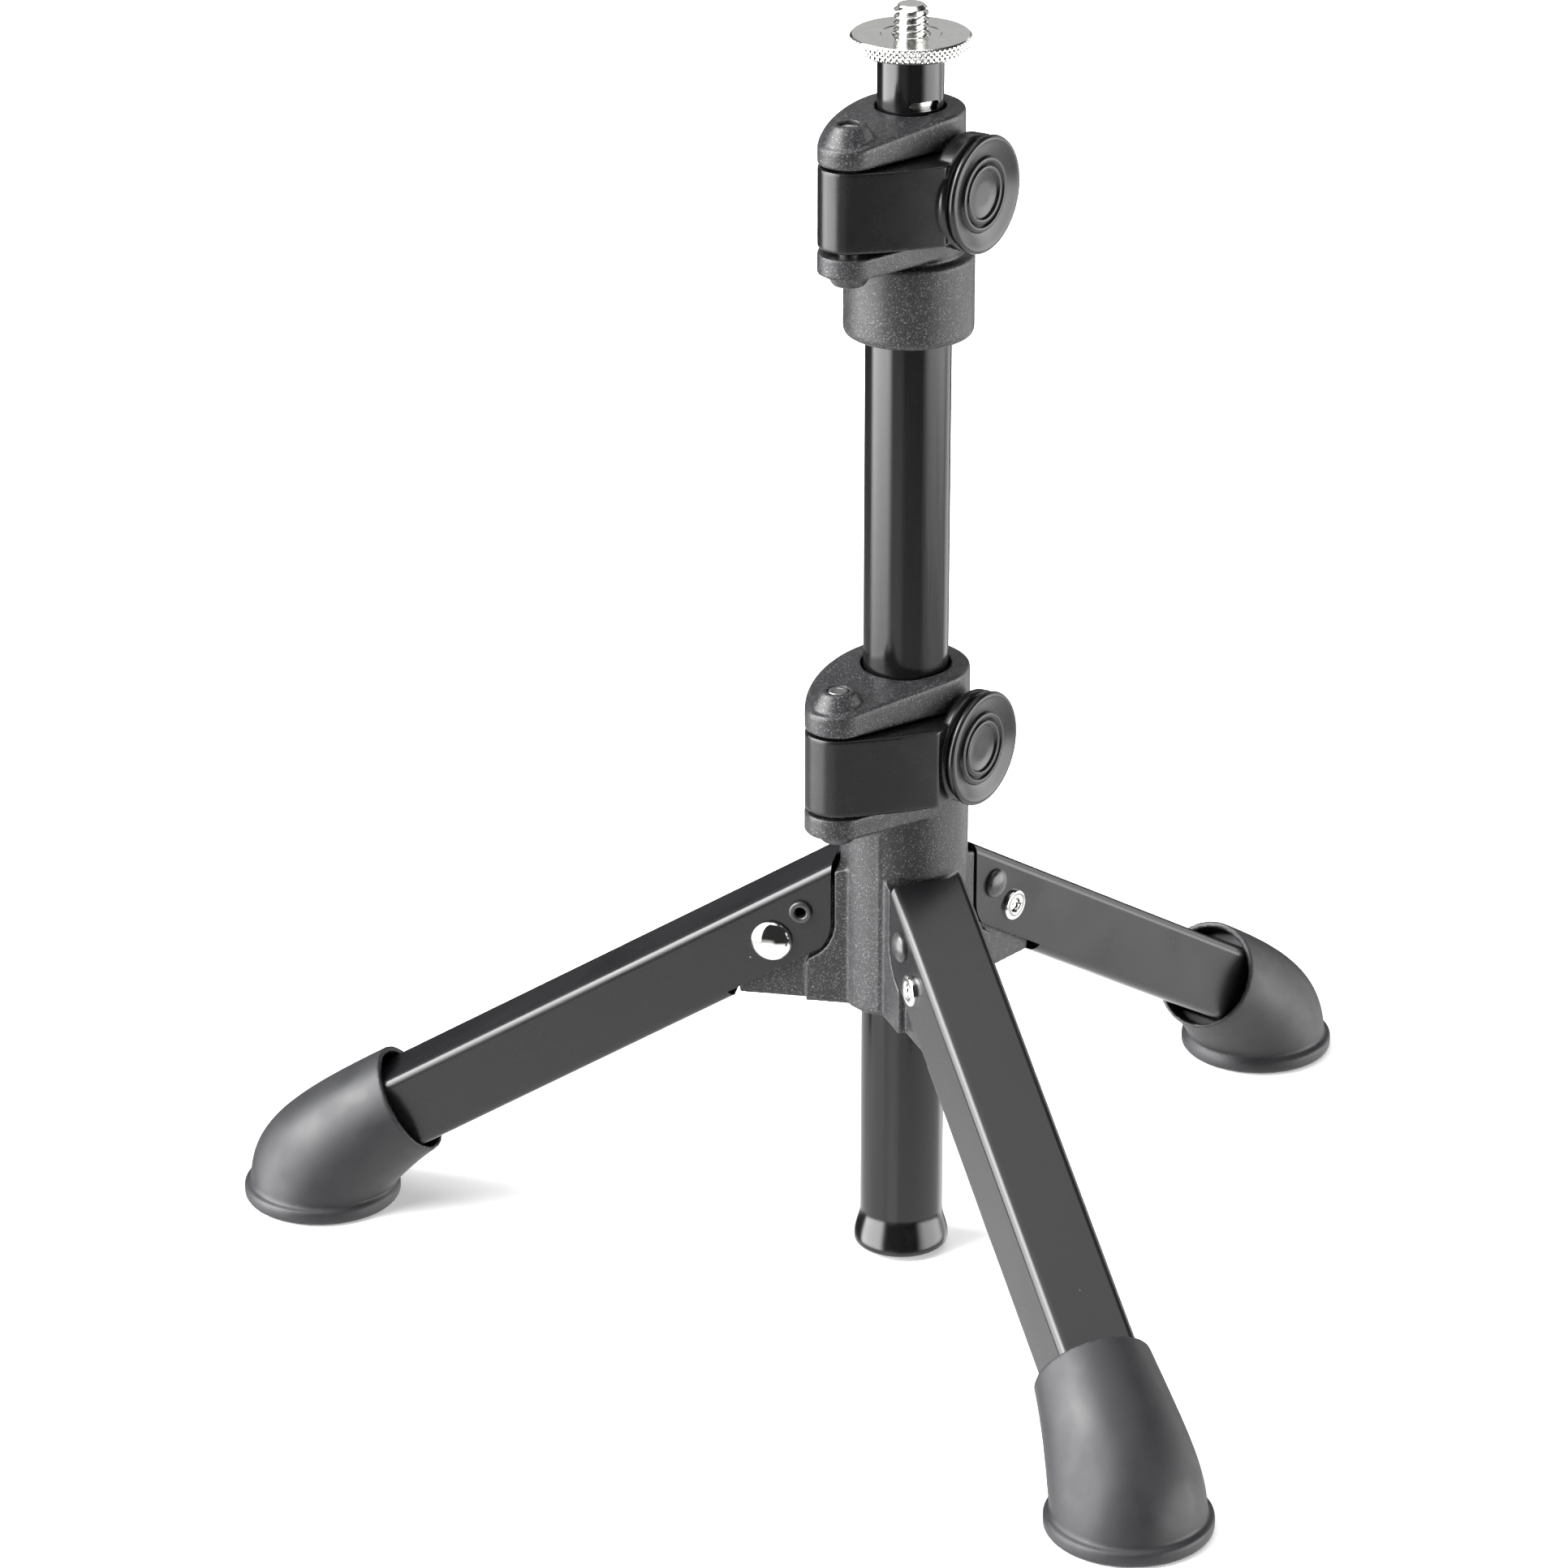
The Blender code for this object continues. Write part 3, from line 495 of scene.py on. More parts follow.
def grained_moulding():
    """Glass-filled nylon: dark, with a fine grain, and painted glints: random cells lightened in the
    base colour.
    """
    made, nodes, shader, where = new_look("grained_moulding", ior=1.5)
    grain = nodes.noise(where, 3600, 2.0, 0.6)
    coarse = nodes.noise(where, 130, 4.0, 0.6)
    cells = nodes.add("ShaderNodeTexVoronoi", vector=where, scale=6500)
    chance = nodes.add("ShaderNodeSeparateColor", color=cells.outputs["Color"]).outputs[1]
    painted_glint = nodes.spread(chance, 0.86, 1.0, 0.0, 1.0)
    base = nodes.blend(grain, grey(0.004, 1.12), grey(0.020, 1.1))
    # painted glints: random cells lifted towards pale grey in the base colour, standing in for sparkle
    # from the lights
    base = nodes.blend(nodes.math("MULTIPLY", painted_glint, 0.7), base, grey(0.20, 1.03))
    nodes.feed(shader.inputs["Base Color"], base)
    rough = nodes.spread(coarse, 0.3, 0.7, 0.32, 0.45)
    rough = nodes.math("SUBTRACT", rough, nodes.math("MULTIPLY", painted_glint, 0.12))
    nodes.feed(shader.inputs["Roughness"], rough)
    height = nodes.math("ADD", grain, nodes.math("MULTIPLY", chance, 0.5))
    nodes.feed(shader.inputs["Normal"], nodes.bump(height, 0.05 * MM, 0.6))
    return made


def satin_moulding():
    """Smooth black lever plastic with a fine spark-eroded texture."""
    made, nodes, shader, where = new_look("satin_moulding", ior=1.5)
    fine = nodes.noise(where, 4200, 2.0, 0.5)
    broad = nodes.noise(where, 120, 4.0, 0.6)
    speck = dust(nodes, where, 520, 0.05)
    base = nodes.blend(broad, grey(0.003, 1.15), grey(0.006, 1.12))
    nodes.feed(shader.inputs["Base Color"], nodes.blend(speck, base, grey(0.14)))
    nodes.feed(shader.inputs["Roughness"], nodes.spread(broad, 0.3, 0.7, 0.24, 0.31))
    nodes.feed(shader.inputs["Normal"], nodes.bump(fine, 0.03 * MM, 0.3))
    return made


def gloss_enamel():
    """Black enamel on drawn tube: soft vertical highlights and a few specks of dust."""
    made, nodes, shader, where = new_look("gloss_enamel", ior=1.52)
    drawn = nodes.add("ShaderNodeMapping", vector=where, scale=(1.0, 1.0, 0.02))
    lines = nodes.noise(drawn.outputs[0], 2500, 2.0, 0.5)
    peel = nodes.noise(where, 420, 2.0, 0.5)
    speck = dust(nodes, where, 230, 0.06)
    nodes.feed(shader.inputs["Base Color"], nodes.blend(speck, grey(0.0045, 1.1), grey(0.3)))
    nodes.feed(shader.inputs["Roughness"], nodes.spread(lines, 0.3, 0.7, 0.14, 0.20))
    height = nodes.math("ADD", nodes.math("MULTIPLY", peel, 0.6),
                        nodes.math("MULTIPLY", lines, 0.15))
    nodes.feed(shader.inputs["Normal"], nodes.bump(height, 0.02 * MM, 0.18))
    return made


def powder_coat():
    """Satin black powder coat with a soft orange peel and a few specks of dust."""
    made, nodes, shader, where = new_look("powder_coat", ior=1.5)
    peel = nodes.noise(where, 700, 3.0, 0.55)
    broad = nodes.noise(where, 55, 3.0, 0.5)
    speck = dust(nodes, where, 210, 0.05)
    base = nodes.blend(broad, grey(0.006, 1.12), grey(0.011, 1.12))
    nodes.feed(shader.inputs["Base Color"], nodes.blend(speck, base, grey(0.25)))
    nodes.feed(shader.inputs["Roughness"], nodes.spread(broad, 0.3, 0.7, 0.24, 0.31))
    nodes.feed(shader.inputs["Normal"], nodes.bump(peel, 0.02 * MM, 0.22))
    return made


def boot_rubber():
    """Matte moulded rubber with cloudy, handled patches."""
    made, nodes, shader, where = new_look("boot_rubber", ior=1.5)
    cloudy = nodes.noise(where, 95, 4.0, 0.6)
    pores = nodes.noise(where, 2600, 2.0, 0.5)
    base = nodes.blend(cloudy, grey(0.010, 1.15), grey(0.022, 1.12))
    nodes.feed(shader.inputs["Base Color"], base)
    nodes.feed(shader.inputs["Roughness"], nodes.spread(cloudy, 0.3, 0.7, 0.42, 0.62))
    height = nodes.math("ADD", nodes.math("MULTIPLY", cloudy, 2.0),
                        nodes.math("MULTIPLY", pores, 0.35))
    nodes.feed(shader.inputs["Normal"], nodes.bump(height, 0.06 * MM, 0.25))
    return made


def bright_plate():
    """Nickel-chrome plate, lightly hazed, with fine turning rings about the mast's axis."""
    made, nodes, shader, where = new_look("bright_plate", metallic=1.0)
    centred = nodes.add("ShaderNodeMapping", vector=where, location=(-MAST.x, -MAST.y, 0.0))
    rings = nodes.add("ShaderNodeTexWave", vector=centred.outputs[0], wave_type="RINGS",
                      rings_direction="Z", scale=1400.0)
    haze = nodes.noise(where, 700, 3.0, 0.6)
    nodes.feed(shader.inputs["Base Color"], nodes.blend(haze, grey(0.72, 0.96), grey(0.82, 0.97)))
    nodes.feed(shader.inputs["Roughness"], nodes.spread(haze, 0.3, 0.7, 0.14, 0.24))
    nodes.feed(shader.inputs["Normal"], nodes.bump(rings.outputs["Fac"], 0.004 * MM, 0.5))
    return made


def polished_chrome():
    """Mirror-bright rivet head with faint wipe marks."""
    made, nodes, shader, where = new_look("polished_chrome", metallic=1.0)
    wipes = nodes.noise(where, 900, 3.0, 0.6)
    nodes.feed(shader.inputs["Base Color"], nodes.blend(wipes, grey(0.80, 0.97), grey(0.87, 0.98)))
    nodes.feed(shader.inputs["Roughness"], nodes.spread(wipes, 0.35, 0.75, 0.05, 0.12))
    nodes.feed(shader.inputs["Normal"], nodes.bump(wipes, 0.01 * MM, 0.08))
    return made


def ground_steel():
    """Dull ground steel of the hinge pins."""
    made, nodes, shader, where = new_look("ground_steel", metallic=1.0)
    grind = nodes.noise(where, 3000, 3.0, 0.6)
    nodes.feed(shader.inputs["Base Color"], nodes.blend(grind, grey(0.22), grey(0.42)))
    nodes.feed(shader.inputs["Roughness"], nodes.spread(grind, 0.3, 0.7, 0.28, 0.45))
    nodes.feed(shader.inputs["Normal"], nodes.bump(grind, 0.01 * MM, 0.3))
    return made


def black_oxide():
    """Blackened rivet steel, worn a little brighter in places."""
    made, nodes, shader, where = new_look("black_oxide", ior=1.6)
    worn = nodes.noise(where, 1300, 4.0, 0.6)
    nodes.feed(shader.inputs["Base Color"], nodes.blend(worn, grey(0.012, 1.05), grey(0.04)))
    nodes.feed(shader.inputs["Roughness"], nodes.spread(worn, 0.3, 0.7, 0.24, 0.38))
    nodes.feed(shader.inputs["Normal"], nodes.bump(worn, 0.01 * MM, 0.2))
    return made


def plain_nylon():
    """Dark nylon of the hidden guides and shoes."""
    made, nodes, shader, where = new_look("plain_nylon", ior=1.53)
    mottle = nodes.noise(where, 900, 3.0, 0.5)
    nodes.feed(shader.inputs["Base Color"], nodes.blend(mottle, grey(0.014), grey(0.03)))
    nodes.feed(shader.inputs["Roughness"], nodes.spread(mottle, 0.3, 0.7, 0.42, 0.56))
    nodes.feed(shader.inputs["Normal"], nodes.bump(mottle, 0.01 * MM, 0.2))
    return made


# ---------------------------------------------------------------- clamp bodies and hub

def crown_height(clamp, radius):
    """Height of the upper plate's top, which falls away from the mast."""
    return clamp["rim_z"] - CROWN_SLOPE * (radius - clamp["hole_r"])


def clamp_block(clamp):
    """Both plates and all between them, with a rounded edge round the crowned top."""
    low, steps = clamp["plate_low"][0], 7
    outline = plate_outline(clamp)
    rings = [[Vector((x, y, low)) for x, y in outline]]
    for i in range(steps + 1):
        angle = math.pi / 2 * i / steps
        inset = CROWN_FILLET * (1 - math.cos(angle))
        drop = CROWN_FILLET * (1 - math.sin(angle))
        outline = plate_outline(clamp, inset)
        rings.append([
            Vector((x, y, crown_height(clamp, math.hypot(x, y)) - drop)) for x, y in outline
        ])
    core = 0.5 * clamp["hole_r"]
    rings.append([Vector((x, y, 0.0)).normalized() * core + Vector((0.0, 0.0, clamp["rim_z"]))
                  for x, y in outline])
    return solid(rings)


def pin_boss(clamp, upper):
    if upper:
        base = crown_height(clamp, clamp["pin"].length)
        profile = [
            (BOSS_BASE_R, clamp["plate_top_z"] + 0.5 * MM),
            (BOSS_BASE_R, base - 0.7 * MM),
            (BOSS_BASE_R - 0.35 * MM, base),
            (clamp["boss_rim_r"] + 0.3 * MM, clamp["boss_top"] - 0.35 * MM),
            (clamp["boss_rim_r"] - 0.1 * MM, clamp["boss_top"]),
        ]
    else:
        profile = [
            (LOW_BOSS_TIP_R, clamp["boss_low"]),
            (LOW_BOSS_R, clamp["plate_low"][0]),
            (LOW_BOSS_R, clamp["plate_low"][0] + 0.6 * MM),
        ]
    return move(turned(profile, 64), Matrix.Translation(clamp["pin"]))


def lever_bay(clamp):
    """The space between the plates in which the lever, its cam and the shoe move."""
    low = clamp["plate_low"][1]
    high = clamp["plate_top_z"]
    front = prism([(-FAR, -FAR), (FAR, -FAR), (FAR, clamp["wall_front_y"]),
                   (-FAR, clamp["wall_front_y"])], low, high)
    half = SHOE_SLOT / 2
    pin = clamp["pin"]
    slot = prism([(0, -half), (pin.length, -half), (pin.length, half), (0, half)], low, high)
    move(slot, spin_z(math.atan2(pin.y, pin.x)))
    room = turned([(KNUCKLE_ROOM_R, low), (KNUCKLE_ROOM_R, high)])
    return front, slot, move(room, Matrix.Translation(pin))


def clamp_frame(clamp, foot_z):
    """Two plates and the wall that joins them, standing on a stem that starts at foot_z."""
    ring_r = clamp["ring_r"]
    body = turned([(ring_r, foot_z), (ring_r, clamp["plate_low"][0] + MM)])
    join(body, clamp_block(clamp), pin_boss(clamp, True), pin_boss(clamp, False))
    cut(body, *lever_bay(clamp))
    hole_r = HINGE_PIN_R + HOLE_GAP
    through = turned([(hole_r, clamp["boss_low"] - MM), (hole_r, clamp["boss_top"] + MM)], 48)
    return cut(body, move(through, Matrix.Translation(clamp["pin"])))


def floor_normal():
    return Vector((math.sin(LEG_SLOPE), math.cos(LEG_SLOPE)))


def heel_centre():
    """Centre of the leg's rounded heel, in side view, and its leg's cut edge."""
    across = floor_normal()
    edge = across.dot(Vector((PIVOT.x, PIVOT.z))) - LEG_UNDER_PIVOT + LEG_WALL
    x = HEEL_X + HEEL_R
    return x, (edge + HEEL_R - across.x * x) / across.y, edge


def shoulder_outline():
    """Side view of the block that the leg's heel nests in."""
    across = floor_normal()
    x, z, edge = heel_centre()
    seat_r = HEEL_R + SEAT_GAP
    corner_z = (edge - SEAT_GAP - across.x * SHOULDER_X) / across.y
    outline = [(WEB_ROOT_X, HUB_BOTTOM), (SHOULDER_X, HUB_BOTTOM),
               (SHOULDER_X, corner_z - 0.6 * MM)]
    outline.append((SHOULDER_X - 0.5 * MM, corner_z + 0.3 * MM))
    outline += arc((x, z), seat_r, 1.5 * math.pi - LEG_SLOPE, math.pi, 20)
    return outline + [(x - seat_r, HEEL_TOP), (WEB_ROOT_X, HEEL_TOP + 2 * MM)]


def fin_outline():
    """Side view of the tongue inside the leg."""
    reach = (STOP_PIN - PIVOT).length
    swing = math.atan2(STOP_PIN.z - PIVOT.z, STOP_PIN.x - PIVOT.x)
    stop = swing + math.asin(STOP_SHANK_ROOM / reach)
    outline = [(WEB_ROOT_X, HUB_BOTTOM), (FIN_TIP_X, HUB_BOTTOM)]
    outline += arc((PIVOT.x, PIVOT.z), TONGUE_R, 0, stop, 32)
    outer = reach + STOP_SHANK_ROOM
    outline.append((PIVOT.x + outer * math.cos(stop), PIVOT.z + outer * math.sin(stop)))
    return outline + [FIN_CREST, FIN_TOP, (WEB_ROOT_X, FIN_TOP[1])]


def leg_azimuth(side):
    point = joint_point("leg_" + side + "_fold")
    return math.atan2(point.y, point.x)


def along_y(profile, sides):
    """A turned piece whose axis lies along Y."""
    return move(turned(profile, sides), Matrix.Rotation(math.pi / 2, 4, "X"))


def make_hub():
    clamp = CLAMPS["lower"]
    hub = clamp_frame(clamp, HUB_BOTTOM)
    fin_half = LEG_W / 2 - LEG_WALL - TONGUE_GAP
    for side in LEGS:
        turn = spin_z(leg_azimuth(side))
        for outline, half in ((shoulder_outline(), LEG_W / 2), (fin_outline(), fin_half)):
            join(hub, move(side_prism(outline, half), turn))
        hole = along_y([(TONGUE_HOLE_R, -2 * LEG_W), (TONGUE_HOLE_R, 2 * LEG_W)], 48)
        cut(hub, move(hole, turn @ Matrix.Translation(PIVOT)))
    for azimuth in SEAM_AZIMUTHS:
        seam = prism([(HUB_R - MM, -0.25 * MM), (HUB_R + 0.22 * MM, -0.1 * MM),
                      (HUB_R + 0.22 * MM, 0.1 * MM), (HUB_R - MM, 0.25 * MM)],
                     HUB_BOTTOM + MM, clamp["plate_low"][0] - 4 * MM)
        join(hub, move(seam, spin_z(math.radians(azimuth))))
    bore = turned([(BORE_R, HUB_BOTTOM - 5 * MM), (BORE_R, clamp["plate_top_z"])])
    hole = turned([(clamp["hole_r"], clamp["plate_top_z"] - MM),
                   (clamp["hole_r"], clamp["rim_z"] + 5 * MM)])
    return moulded(cut(hub, bore, hole), 0.3 * MM, 5)


def make_upper_body():
    clamp = CLAMPS["upper"]
    body = clamp_frame(clamp, COLLAR_TOP - 2 * MM)
    collar = turned([
        (HUB_R - 0.9 * MM, COLLAR_BOTTOM),
        (HUB_R - 0.25 * MM, COLLAR_BOTTOM + 0.3 * MM),
        (HUB_R, COLLAR_BOTTOM + MM),
        (HUB_R, COLLAR_TOP - 0.4 * MM),
        (HUB_R - 0.4 * MM, COLLAR_TOP),
    ])
    join(body, collar)
    socket_r = TUBE_R + HOLE_GAP
    socket = turned([(socket_r, COLLAR_BOTTOM - MM), (socket_r, TUBE_TOP + HOLE_GAP)])
    bore = turned([(RING_BORE_R, TUBE_TOP - MM), (RING_BORE_R, clamp["plate_top_z"])])
    hole = turned([(clamp["hole_r"], clamp["plate_top_z"] - MM),
                   (clamp["hole_r"], clamp["rim_z"] + 5 * MM)])
    return moulded(cut(body, socket, bore, hole), 0.28 * MM, 4)


# ---------------------------------------------------------------- levers and their caps

def disc_matrix(clamp):
    """From a Z-up turned piece to the thumb disc's place, its face at z = 0 looking out."""
    tilt = Matrix.Rotation(math.pi / 2, 4, "Y")
    return Matrix.Translation(clamp["disc"]) @ spin_z(DISC_AZIMUTH) @ tilt


def make_lever(clamp):
    pin = clamp["pin"]
    low, high = clamp["lever_z"]
    run = Vector((math.cos(LEVER_AZIMUTH), math.sin(LEVER_AZIMUTH), 0.0))
    out = Vector((run.y, -run.x, 0.0))
    knuckle_r = clamp["pin_end_r"] - 0.05 * MM
    start = pin + knuckle_r * out
    inner_y = clamp["wall_front_y"] - 0.4 * MM
    face = Vector((math.cos(DISC_AZIMUTH), math.sin(DISC_AZIMUTH), 0.0))
    distance = clamp["disc"].dot(face)
    reach = (distance - CAP_THICKNESS - 0.4 * MM - start.dot(face)) / run.dot(face)
    steps = 16
    flap = [(start + reach * i / steps * run
             + LEVER_BOW * math.sin(math.pi * i / steps) * out).xy.to_tuple()
            for i in range(steps + 1)]
    flap += [(clamp["disc"].x - 1.5 * MM, inner_y), (pin.x + 2 * MM, inner_y), (pin.x, pin.y)]
    lever = prism(flap, low, high)
    knuckle = turned([(knuckle_r, low), (knuckle_r, high)], 96)
    cam = turned([(CAM_R, low + 0.01 * MM), (CAM_R, high - 0.01 * MM)], 96)
    join(lever, move(knuckle, Matrix.Translation(pin)),
         move(cam, Matrix.Translation(pin - CAM_THROW * pin.normalized())))
    back = clamp["boss_back"] - distance
    boss = turned([
        (THUMB_BOSS_R - 0.5 * MM, back),
        (THUMB_BOSS_R, back + 0.5 * MM),
        (THUMB_BOSS_R + 0.15 * MM, -CAP_THICKNESS - 0.5 * MM),
        (THUMB_BOSS_R - 0.25 * MM, -CAP_THICKNESS + 0.05 * MM),
        (9.5 * MM, -CAP_THICKNESS + 0.25 * MM),
    ])
    join(lever, move(boss, disc_matrix(clamp)))
    hole_r = HINGE_PIN_R + HOLE_GAP
    through = turned([(hole_r, low - MM), (hole_r, high + MM)], 48)
    pocket = turned([(CAP_POCKET_R, -CAP_THICKNESS - 0.1 * MM), (CAP_POCKET_R, MM)], 96)
    cut(lever, move(through, Matrix.Translation(pin)), move(pocket, disc_matrix(clamp)))
    return moulded(lever, 0.22 * MM, 9)


def make_cap(clamp):
    """Dished cap with a round edge and plain raised rings."""
    edge = -0.75 * MM
    outer = arc((DISC_R - 0.75 * MM, edge), 0.75 * MM, -0.9, 0.5 * math.pi, 10)
    profile = [(9.5 * MM, -CAP_THICKNESS), (9.6 * MM, -CAP_THICKNESS + 0.45 * MM)]
    profile += outer
    profile += [(9.8 * MM, -0.06 * MM), (9.3 * MM, -0.28 * MM), (8.7 * MM, -0.5 * MM),
                (8.0 * MM, -0.76 * MM), (7.5 * MM, -0.9 * MM), (7.2 * MM, -0.95 * MM)]
    crest = -0.38 * MM
    for radius in RING_RADII:
        profile += [(radius * MM, crest - 0.06 * MM), ((radius - 0.12) * MM, crest),
                    ((radius - 0.65) * MM, crest), ((radius - 0.77) * MM, crest - 0.06 * MM),
                    ((radius - 0.95) * MM, -0.9 * MM), ((radius - 1.12) * MM, -0.98 * MM)]
    profile += [(2.0 * MM, -1.0 * MM), (0.4 * MM, -1.01 * MM)]
    return move(smooth_turned(turned(profile, 96), 60), disc_matrix(clamp))


def make_hinge_pin(clamp):
    """Steel pin with a slightly domed, ringed end."""
    low, high = clamp["boss_low"] + 0.1 * MM, clamp["boss_top"] - clamp["pin_recess"]
    r = HINGE_PIN_R
    end = [(r, -0.45), (0.94 * r, -0.15), (0.84 * r, -0.03), (0.62 * r, -0.05),
           (0.56 * r, -0.2), (0.3 * r, -0.22), (0.05 * r, -0.2)]
    profile = [(radius, low - step * MM) for radius, step in reversed(end)]
    profile += [(radius, high + step * MM) for radius, step in end]
    return move(smooth_turned(turned(profile, 48)), Matrix.Translation(clamp["pin"]))


# ---------------------------------------------------------------- mast

def make_main_tube():
    low, high = heights("main_tube")
    flare_r = radius_of("main_tube")
    lip = 0.8 * MM
    profile = [(TUBE_R - TUBE_WALL, high)]
    profile += arc((TUBE_R - 0.3 * MM, high - 0.3 * MM), 0.3 * MM, math.pi / 2, 0, 4)
    neck = 7.5 * MM
    steps = 10
    for i in range(steps + 1):
        t = i / steps
        bend = (1 - math.cos(math.pi * t)) / 2
        profile.append((TUBE_R + (flare_r - TUBE_R) * bend, low + neck - (neck - lip) * t))
    profile += arc((flare_r - lip, low + lip), lip, 0, -math.pi / 2, 6)[1:]
    profile += [(TUBE_R - TUBE_WALL + 0.2 * MM, low), (TUBE_R - TUBE_WALL, low + 0.4 * MM)]
    tube = smooth_turned(turned(profile, ROUND, True))
    tube.modifiers.new("weighted", "WEIGHTED_NORMAL").keep_sharp = True
    return tube


def slot_cutter():
    """Radial tool with round ends."""
    half = SLOT_LENGTH / 2 - SLOT_HEIGHT / 2
    outline = arc((half, 0), SLOT_HEIGHT / 2, -math.pi / 2, math.pi / 2, 12)
    outline += arc((-half, 0), SLOT_HEIGHT / 2, math.pi / 2, 1.5 * math.pi, 12)
    tool = bar(outline, SLOT_DEPTH, 2 * STEM_R)
    return move(tool, spin_z(SLOT_AZIMUTH) @ Matrix.Translation((0, 0, SLOT_Z)))


def make_inner_tube():
    low, high = heights("inner_tube")
    edge = 0.25 * MM
    profile = [(STEM_R - STEM_WALL, high), (STEM_R - edge, high), (STEM_R, high - edge)]
    profile += [(STEM_R, low), (STEM_R - STEM_WALL, low)]
    stem = turned(profile, ROUND, True)
    cut(stem, slot_cutter())
    return broken_edges(stem, 0.12 * MM)


def thread_depth(turns):
    """How far below the crest a 60 degree thread is, for a distance measured in pitches."""
    share = abs((turns % 1.0) - 0.5) * 2
    return min(max((share - CREST_SHARE) / FLANK_SHARE, 0.0), 1.0)


def make_stud():
    """Plug inside the tube, and a screw thread above it."""
    low, high = heights("threaded_stud")
    shoulder = heights("inner_tube")[1]
    sides, per_turn = 48, 12
    rings = [ring_of(0.4 * PLUG_R, low, sides), ring_of(PLUG_R, low, sides),
             ring_of(PLUG_R, shoulder, sides)]
    rows = int((high - shoulder) / THREAD_PITCH * per_turn)
    chamfer = 0.9 * MM
    for row in range(rows + 1):
        z = shoulder + 0.05 * MM + (high - shoulder - 0.05 * MM) * row / rows
        ring = []
        for i in range(sides):
            angle = 2 * math.pi * i / sides
            turns = (z - shoulder) / THREAD_PITCH - i / sides
            radius = THREAD_R - THREAD_DEPTH * thread_depth(turns)
            radius = min(radius, THREAD_R - chamfer + (high - z))
            ring.append(Vector((radius * math.cos(angle), radius * math.sin(angle), z)))
        rings.append(ring)
    rings.append(ring_of(0.6 * MM, high, sides))
    return smooth_turned(solid(rings), 42)


def make_nut():
    """Round nut: diamond-knurled rim, turned top."""
    low, high = heights("knurled_nut")
    outer = radius_of("knurled_nut")
    bore, depth = NUT_BORE_R, KNURL_DEPTH
    rows, sides = 18, KNURL_TEETH * 8
    chamfer = 0.35 * MM
    slant = 2 * math.pi * outer / KNURL_TEETH
    rings = [ring_of(bore, low, sides), ring_of(outer - chamfer - depth, low, sides)]
    for row in range(rows + 1):
        z = low + (high - low) * row / rows
        edge = min(z - low, high - z)
        ring = []
        for i in range(sides):
            angle = 2 * math.pi * i / sides
            along = i / sides * KNURL_TEETH
            one = abs(((along + z / slant) % 1.0) - 0.5) * 2
            two = abs(((along - z / slant) % 1.0) - 0.5) * 2
            radius = outer - depth * max(one, two)
            radius = min(radius, outer - chamfer - 0.5 * depth + edge)
            ring.append(Vector((radius * math.cos(angle), radius * math.sin(angle), z)))
        rings.append(ring)
    step = 0.12 * MM
    rings += [
        ring_of(outer - chamfer - depth - 0.1 * MM, high, sides),
        ring_of(NUT_FACE_R, high, sides),
        ring_of(NUT_FACE_R - 0.2 * MM, high - step, sides),
        ring_of(bore + 0.3 * MM, high - step, sides),
        ring_of(bore, high - 0.4 * MM, sides),
    ]
    return smooth_turned(solid(rings, True), 30)


# ---------------------------------------------------------------- legs and feet

def leg_tilt():
    """From leg coordinates (x along the leg, pivot at the origin) to the stand, heading +X."""
    return Matrix.Translation(PIVOT) @ Matrix.Rotation(LEG_SLOPE, 4, "Y")


def make_leg():
    low = -LEG_UNDER_PIVOT
    high = low + LEG_H
    start = LEG_BLANK_START
    half = LEG_W / 2
    leg = bar(rounded_rectangle(half, low, high, LEG_CORNER), start, LEG_END)
    hollow = rounded_rectangle(half - LEG_WALL, low + LEG_WALL, high - LEG_WALL, 0.3 * MM, 3)
    cut(leg, bar(hollow, start - MM, LEG_END + MM))
    floor = low + LEG_WALL + 0.35 * MM
    cut(leg, side_prism([(start - MM, low - MM), (LEG_FLOOR_START, low - MM),
                         (LEG_FLOOR_START + 0.8 * MM, floor), (start - MM, floor)], LEG_W))
    move(leg, leg_tilt())
    across = floor_normal()
    x, z, _ = heel_centre()
    top, bottom, back = 110 * MM, 40 * MM, -40 * MM
    outline = [(HEEL_X, top), (HEEL_X, z)]
    outline += arc((x, z), HEEL_R, math.pi, 1.5 * math.pi - LEG_SLOPE, 24)[1:]
    outline += [(x - HEEL_R * across.x, bottom), (back, bottom), (back, top)]
    cut(leg, side_prism(outline, LEG_W))
    for place, radius in ((PIVOT, PIVOT_HOLE_R), (STOP_PIN, STOP_HOLE_R)):
        hole = along_y([(radius, -LEG_W), (radius, LEG_W)], 48)
        cut(leg, move(hole, Matrix.Translation(place)))
    return broken_edges(leg, 0.2 * MM)


def make_rivet(place, shape):
    """Domed head on one side of the leg, rolled tail with a dimple on the other."""
    shank_r, head_r, head_h, tail_r, bore_r, bore_depth, head_side = shape
    seat = LEG_W / 2 + 0.02 * MM
    lip = 0.42 * MM
    floor = -seat - lip + bore_depth
    profile = [(0.2 * bore_r, floor + 0.05 * MM), (0.75 * bore_r, floor), (bore_r, -seat - 0.3 * MM)]
    profile += arc((bore_r + lip, -seat - lip), lip, math.pi, 1.5 * math.pi, 5)
    profile += arc((tail_r - lip, -seat - lip), lip, 1.5 * math.pi, 2 * math.pi, 5)
    profile += [(tail_r, -seat), (shank_r, -seat), (shank_r, seat), (head_r, seat)]
    rim = 0.22 * MM
    profile.append((head_r, seat + rim))
    steps = 14
    for i in range(1, steps):
        angle = math.pi / 2 * i / steps
        profile.append((head_r * math.cos(angle), seat + rim + (head_h - rim) * math.sin(angle)))
    made = smooth_turned(along_y(profile, 64))
    if head_side > 0:
        move(made, Matrix.Rotation(math.pi, 4, "Z"))
    return move(made, Matrix.Translation(place))


